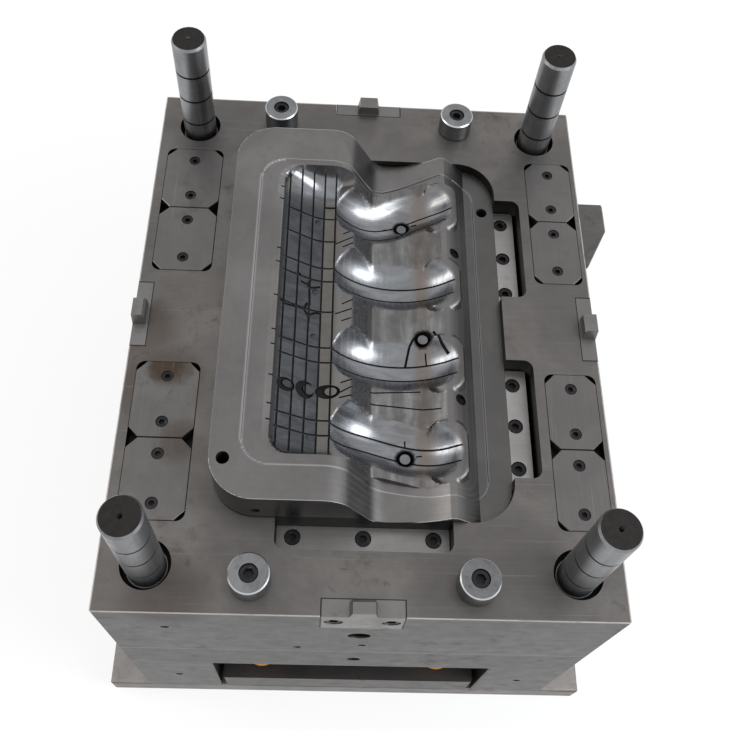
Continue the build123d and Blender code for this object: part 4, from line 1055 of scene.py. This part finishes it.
class MOULD_OT_blocks(bpy.types.Operator):
    """Give the wear plates, side locks, wedge blocks and side block their steel"""

    bl_idname = "mould.blocks"
    bl_label = "Blocks and wear plates"

    def execute(self, context):
        steel = context.scene.mould_steel
        tone, stain = steel.block_tone, steel.stain_tone
        front, back, left, right = (0, -1), (0, 1), (-1, 0), (1, 0)
        spots = [(-0.226, -0.066, parting_z, 0.03, 1.0), (-0.205, -0.16, parting_z, 0.03, 0.5)]
        # Wear plates, locks and wedges get painted shade along their outline, in the gap to their pockets.
        for name in named("wear_plate_left", "wear_plate_right"):
            seam = self.outline(name, (0, 0), 0.0007)
            wear = ground_steel(name, steel.wear_tone, stain, (520, 6, 520), 0.36, 0.45, 0.35, spots,
                                seam=seam)
            dress([name], wear)
        for side, way in (("front", front), ("back", back), ("left", left), ("right", right)):
            seam = self.outline(f"side_lock_{side}", way, 0.0013)
            lock = ground_steel(f"lock_steel_{side}", shade(tone, 1.35), stain, (600, 600, 8), 0.40, 0.5, 0.5,
                                seam=seam)
            dress([f"side_lock_{side}"], lock)
        # Painted light: the wedge blocks sit in recesses, and their colour is brightened to stand in for the
        # light that misses them there.
        wedges = (("front", back, 2.0), ("right_front", left, 2.8), ("right_back", left, 2.8))
        for place, way, gain in wedges:
            name = f"wedge_block_{place}"
            seam = self.outline(name, way, 0.0010)
            wedge = ground_steel(name, shade(tone, gain), stain, (8, 480, 480), 0.38, 0.5, 0.4, seam=seam)
            dress([name], wedge)
        side = ground_steel("side_steel", shade(tone, 0.9), stain, (8, 500, 500), 0.45, 0.5, 0.5)
        dress(["side_block"], side)
        return {"FINISHED"}

    def outline(self, name, way, width):
        """Where a piece's painted gap shade lies: its box, with top, underside and open side pushed out of
        the way.
        """
        away = 0.05
        low, high = [list(corner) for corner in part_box(name)]
        low[2], high[2] = low[2] - away, high[2] + away
        for i in range(2):
            low[i] += min(way[i], 0) * away
            high[i] += max(way[i], 0) * away
        return low, high, width


class MOULD_OT_pillars(bpy.types.Operator):
    """Give the guide pillars, pins, pads, bushes and sleeves their ground steel"""

    bl_idname = "mould.pillars"
    bl_label = "Pillars and pins"

    def execute(self, context):
        steel = context.scene.mould_steel
        tone, stain = steel.bright_tone, steel.stain_tone
        slate = context.scene.mould_insert.trough_tone
        pillar_places, pillar_top = (0.225, 0.294), 0.636
        sleeve_tops = (0.4495, 0.465, 0.4495)
        pad_top, pin_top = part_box("return_pad_back_left")[1][2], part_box("ejector_pins")[1][2]
        pillar = bright_steel("pillar_steel", tone, stain, 0.4, [(0, 0, 1, pillar_top)],
                              (0.034, 0.032, 0.031), pillar_places)
        # Painted shade: the sleeves' ends, deep in their bores, are made near black.
        sleeve_ends = [(x / mm, y / mm, 0.03, top) for (x, y), top in zip(ring_places, sleeve_tops)]
        sleeve = bright_steel("sleeve_steel", shade(tone, 0.7), stain, 0.4, sleeve_ends, (0.01, 0.01, 0.01))
        ejector = bright_steel("ejector_pin_steel", shade(tone, 0.7), stain, 0.4, [(0, 0, 1, pin_top)], slate)
        dress(named("guide_pillar"), pillar)
        dress(named("return_pin"), bright_steel("return_pin_steel", shade(tone, 0.8), stain, 0.34))
        dress(named("return_pad"), bright_steel("pad_steel", shade(tone, 0.85), stain, 0.36, highlight_z=pad_top))
        dress(["ejector_guide_pins", "ejector_guide_bushes", "support_pillars", "stop_buttons"],
              bright_steel("inner_pin_steel", shade(tone, 0.7), stain, 0.34))
        dress(["ejector_pins"], ejector)
        dress(["sleeve_ejectors"], sleeve)
        dress(["core_pins"], bright_steel("core_pin_steel", shade(tone, 0.7), stain, 0.36))
        return {"FINISHED"}


class MOULD_OT_screws(bpy.types.Operator):
    """Give the cap screws and plugs their black oxide"""

    bl_idname = "mould.screws"
    bl_label = "Screws"

    def execute(self, context):
        oxide = black_oxide("black_oxide", context.scene.mould_steel.oxide_tone)
        dress([name for name in nodes if name.endswith("screws")] + ["core_pin_plugs"], oxide)
        return {"FINISHED"}


class MOULD_OT_stage(bpy.types.Operator):
    """Set up the floor, lamps, surroundings and camera"""

    bl_idname = "mould.stage"
    bl_label = "Stage"

    def execute(self, context):
        scene, settings = context.scene, context.scene.mould_stage
        form = bmesh.new()
        bmesh.ops.create_grid(form, x_segments=1, y_segments=1, size=6.0)
        floor = shown("floor", form, [self.floor_paint(settings.floor_tone)], None)
        self.lamp("key_lamp", (2.3, -0.85, 2.05), (1.7, 1.5), settings.key_power, (0.93, 0.965, 1.0))
        self.lamp("fill_lamp", (-2.3, 0.1, 1.6), (1.0, 1.6), settings.fill_power, (1.0, 0.96, 0.91))
        self.surroundings(scene)
        self.camera(scene)
        scene.view_settings.view_transform = "Standard"
        return {"FINISHED"}

    def camera(self, scene):
        """The photo's camera, solved from the corners of the plate."""
        eye = bpy.data.objects.new("camera", bpy.data.cameras.new("camera"))
        scene.collection.objects.link(eye)
        eye.location = (-0.05106754, -0.55627735, 1.45719292)
        eye.rotation_euler = [radians(a) for a in (30.22604055, -3.15933093, 0.5455159)]
        eye.data.sensor_width, eye.data.lens = 36.0, 46.52
        eye.data.shift_x, eye.data.shift_y = 0.0008, -0.0725
        scene.camera = eye

    def lamp(self, name, place, size, power, tint):
        """A soft rectangular lamp that points at the middle of the mould."""
        aim = Vector((0, 0, 0.45))
        data = bpy.data.lights.new(name, "AREA")
        data.shape, data.size, data.size_y, data.energy, data.color = "RECTANGLE", *size, power, tint
        lamp = bpy.data.objects.new(name, data)
        bpy.context.scene.collection.objects.link(lamp)
        lamp.location = place
        lamp.rotation_euler = (aim - Vector(place)).to_track_quat("-Z", "Y").to_euler()

    def floor_paint(self, tone):
        """Pale floor that looks white to the camera and still takes the shadow."""
        paint = Paint(bpy.data.materials.new("pale_floor"))
        cloud = paint.noise(1.2, 3.0, 0.5)
        body = paint.mix(cloud * 0.2, tone, shade(tone, 0.96))
        glow = paint.mix(paint.seen(), (0, 0, 0), (0.78, 0.78, 0.78))
        return paint.finish(body, 0.7, 0.0, Emission_Color=glow, Emission_Strength=1.0)

    def surroundings(self, scene):
        """White to the camera and in mirrors; as light a soft room, brightest straight overhead."""
        scene.world = bpy.data.worlds.new("studio")
        room = Paint(scene.world)
        at = room.node("ShaderNodeTexCoord", output=0)
        upright = room.node("ShaderNodeSeparateXYZ", inputs={0: at}, output=2)
        stops = [(0.0, (0.42, 0.41, 0.40, 1)), (1.0, (0.55, 0.56, 0.58, 1)), (0.15, (0.50, 0.495, 0.49, 1)),
                 (0.5, (0.42, 0.42, 0.43, 1))]
        tone = room.node("ShaderNodeValToRGB", {"stops": stops}, {0: abs(upright)})
        tone = room.mix(room.seen(), tone, (1, 1, 1))
        light = room.node("ShaderNodeBackground", inputs={"Color": tone, "Strength": 1.0})
        room.node("ShaderNodeOutputWorld", inputs={"Surface": light})


class MOULD_PT_panel(bpy.types.Panel):
    """Lists the pieces of the mould half and their settings"""

    bl_idname = "MOULD_PT_panel"
    bl_label = "Injection mould half"
    bl_space_type = "VIEW_3D"
    bl_region_type = "UI"
    bl_category = "Mould"

    def draw(self, context):
        for operator in operators:
            self.layout.operator(operator.bl_idname)
        for group, kind in settings_groups.items():
            box = self.layout.box()
            for name in kind.__annotations__:
                box.prop(getattr(context.scene, group), name)


settings_groups = {
    "mould_insert": MouldInsertSettings,
    "mould_steel": MouldSteelSettings,
    "mould_spring": MouldSpringSettings,
    "mould_stage": MouldStageSettings,
}
operators = (
    MOULD_OT_stage,
    MOULD_OT_core_insert,
    MOULD_OT_springs,
    MOULD_OT_plates,
    MOULD_OT_blocks,
    MOULD_OT_pillars,
    MOULD_OT_screws,
)


def register():
    for group, kind in settings_groups.items():
        bpy.utils.register_class(kind)
        setattr(bpy.types.Scene, group, bpy.props.PointerProperty(type=kind))
    for kind in operators + (MOULD_PT_panel,):
        bpy.utils.register_class(kind)


def unregister():
    for kind in (MOULD_PT_panel,) + operators[::-1]:
        bpy.utils.unregister_class(kind)
    for group, kind in settings_groups.items():
        delattr(bpy.types.Scene, group)
        bpy.utils.unregister_class(kind)


def main():
    register()
    bpy.ops.mould.stage()
    bpy.ops.mould.core_insert()
    bpy.ops.mould.springs()
    bpy.ops.mould.plates()
    bpy.ops.mould.blocks()
    bpy.ops.mould.pillars()
    bpy.ops.mould.screws()


if __name__ == "__main__":
    main()
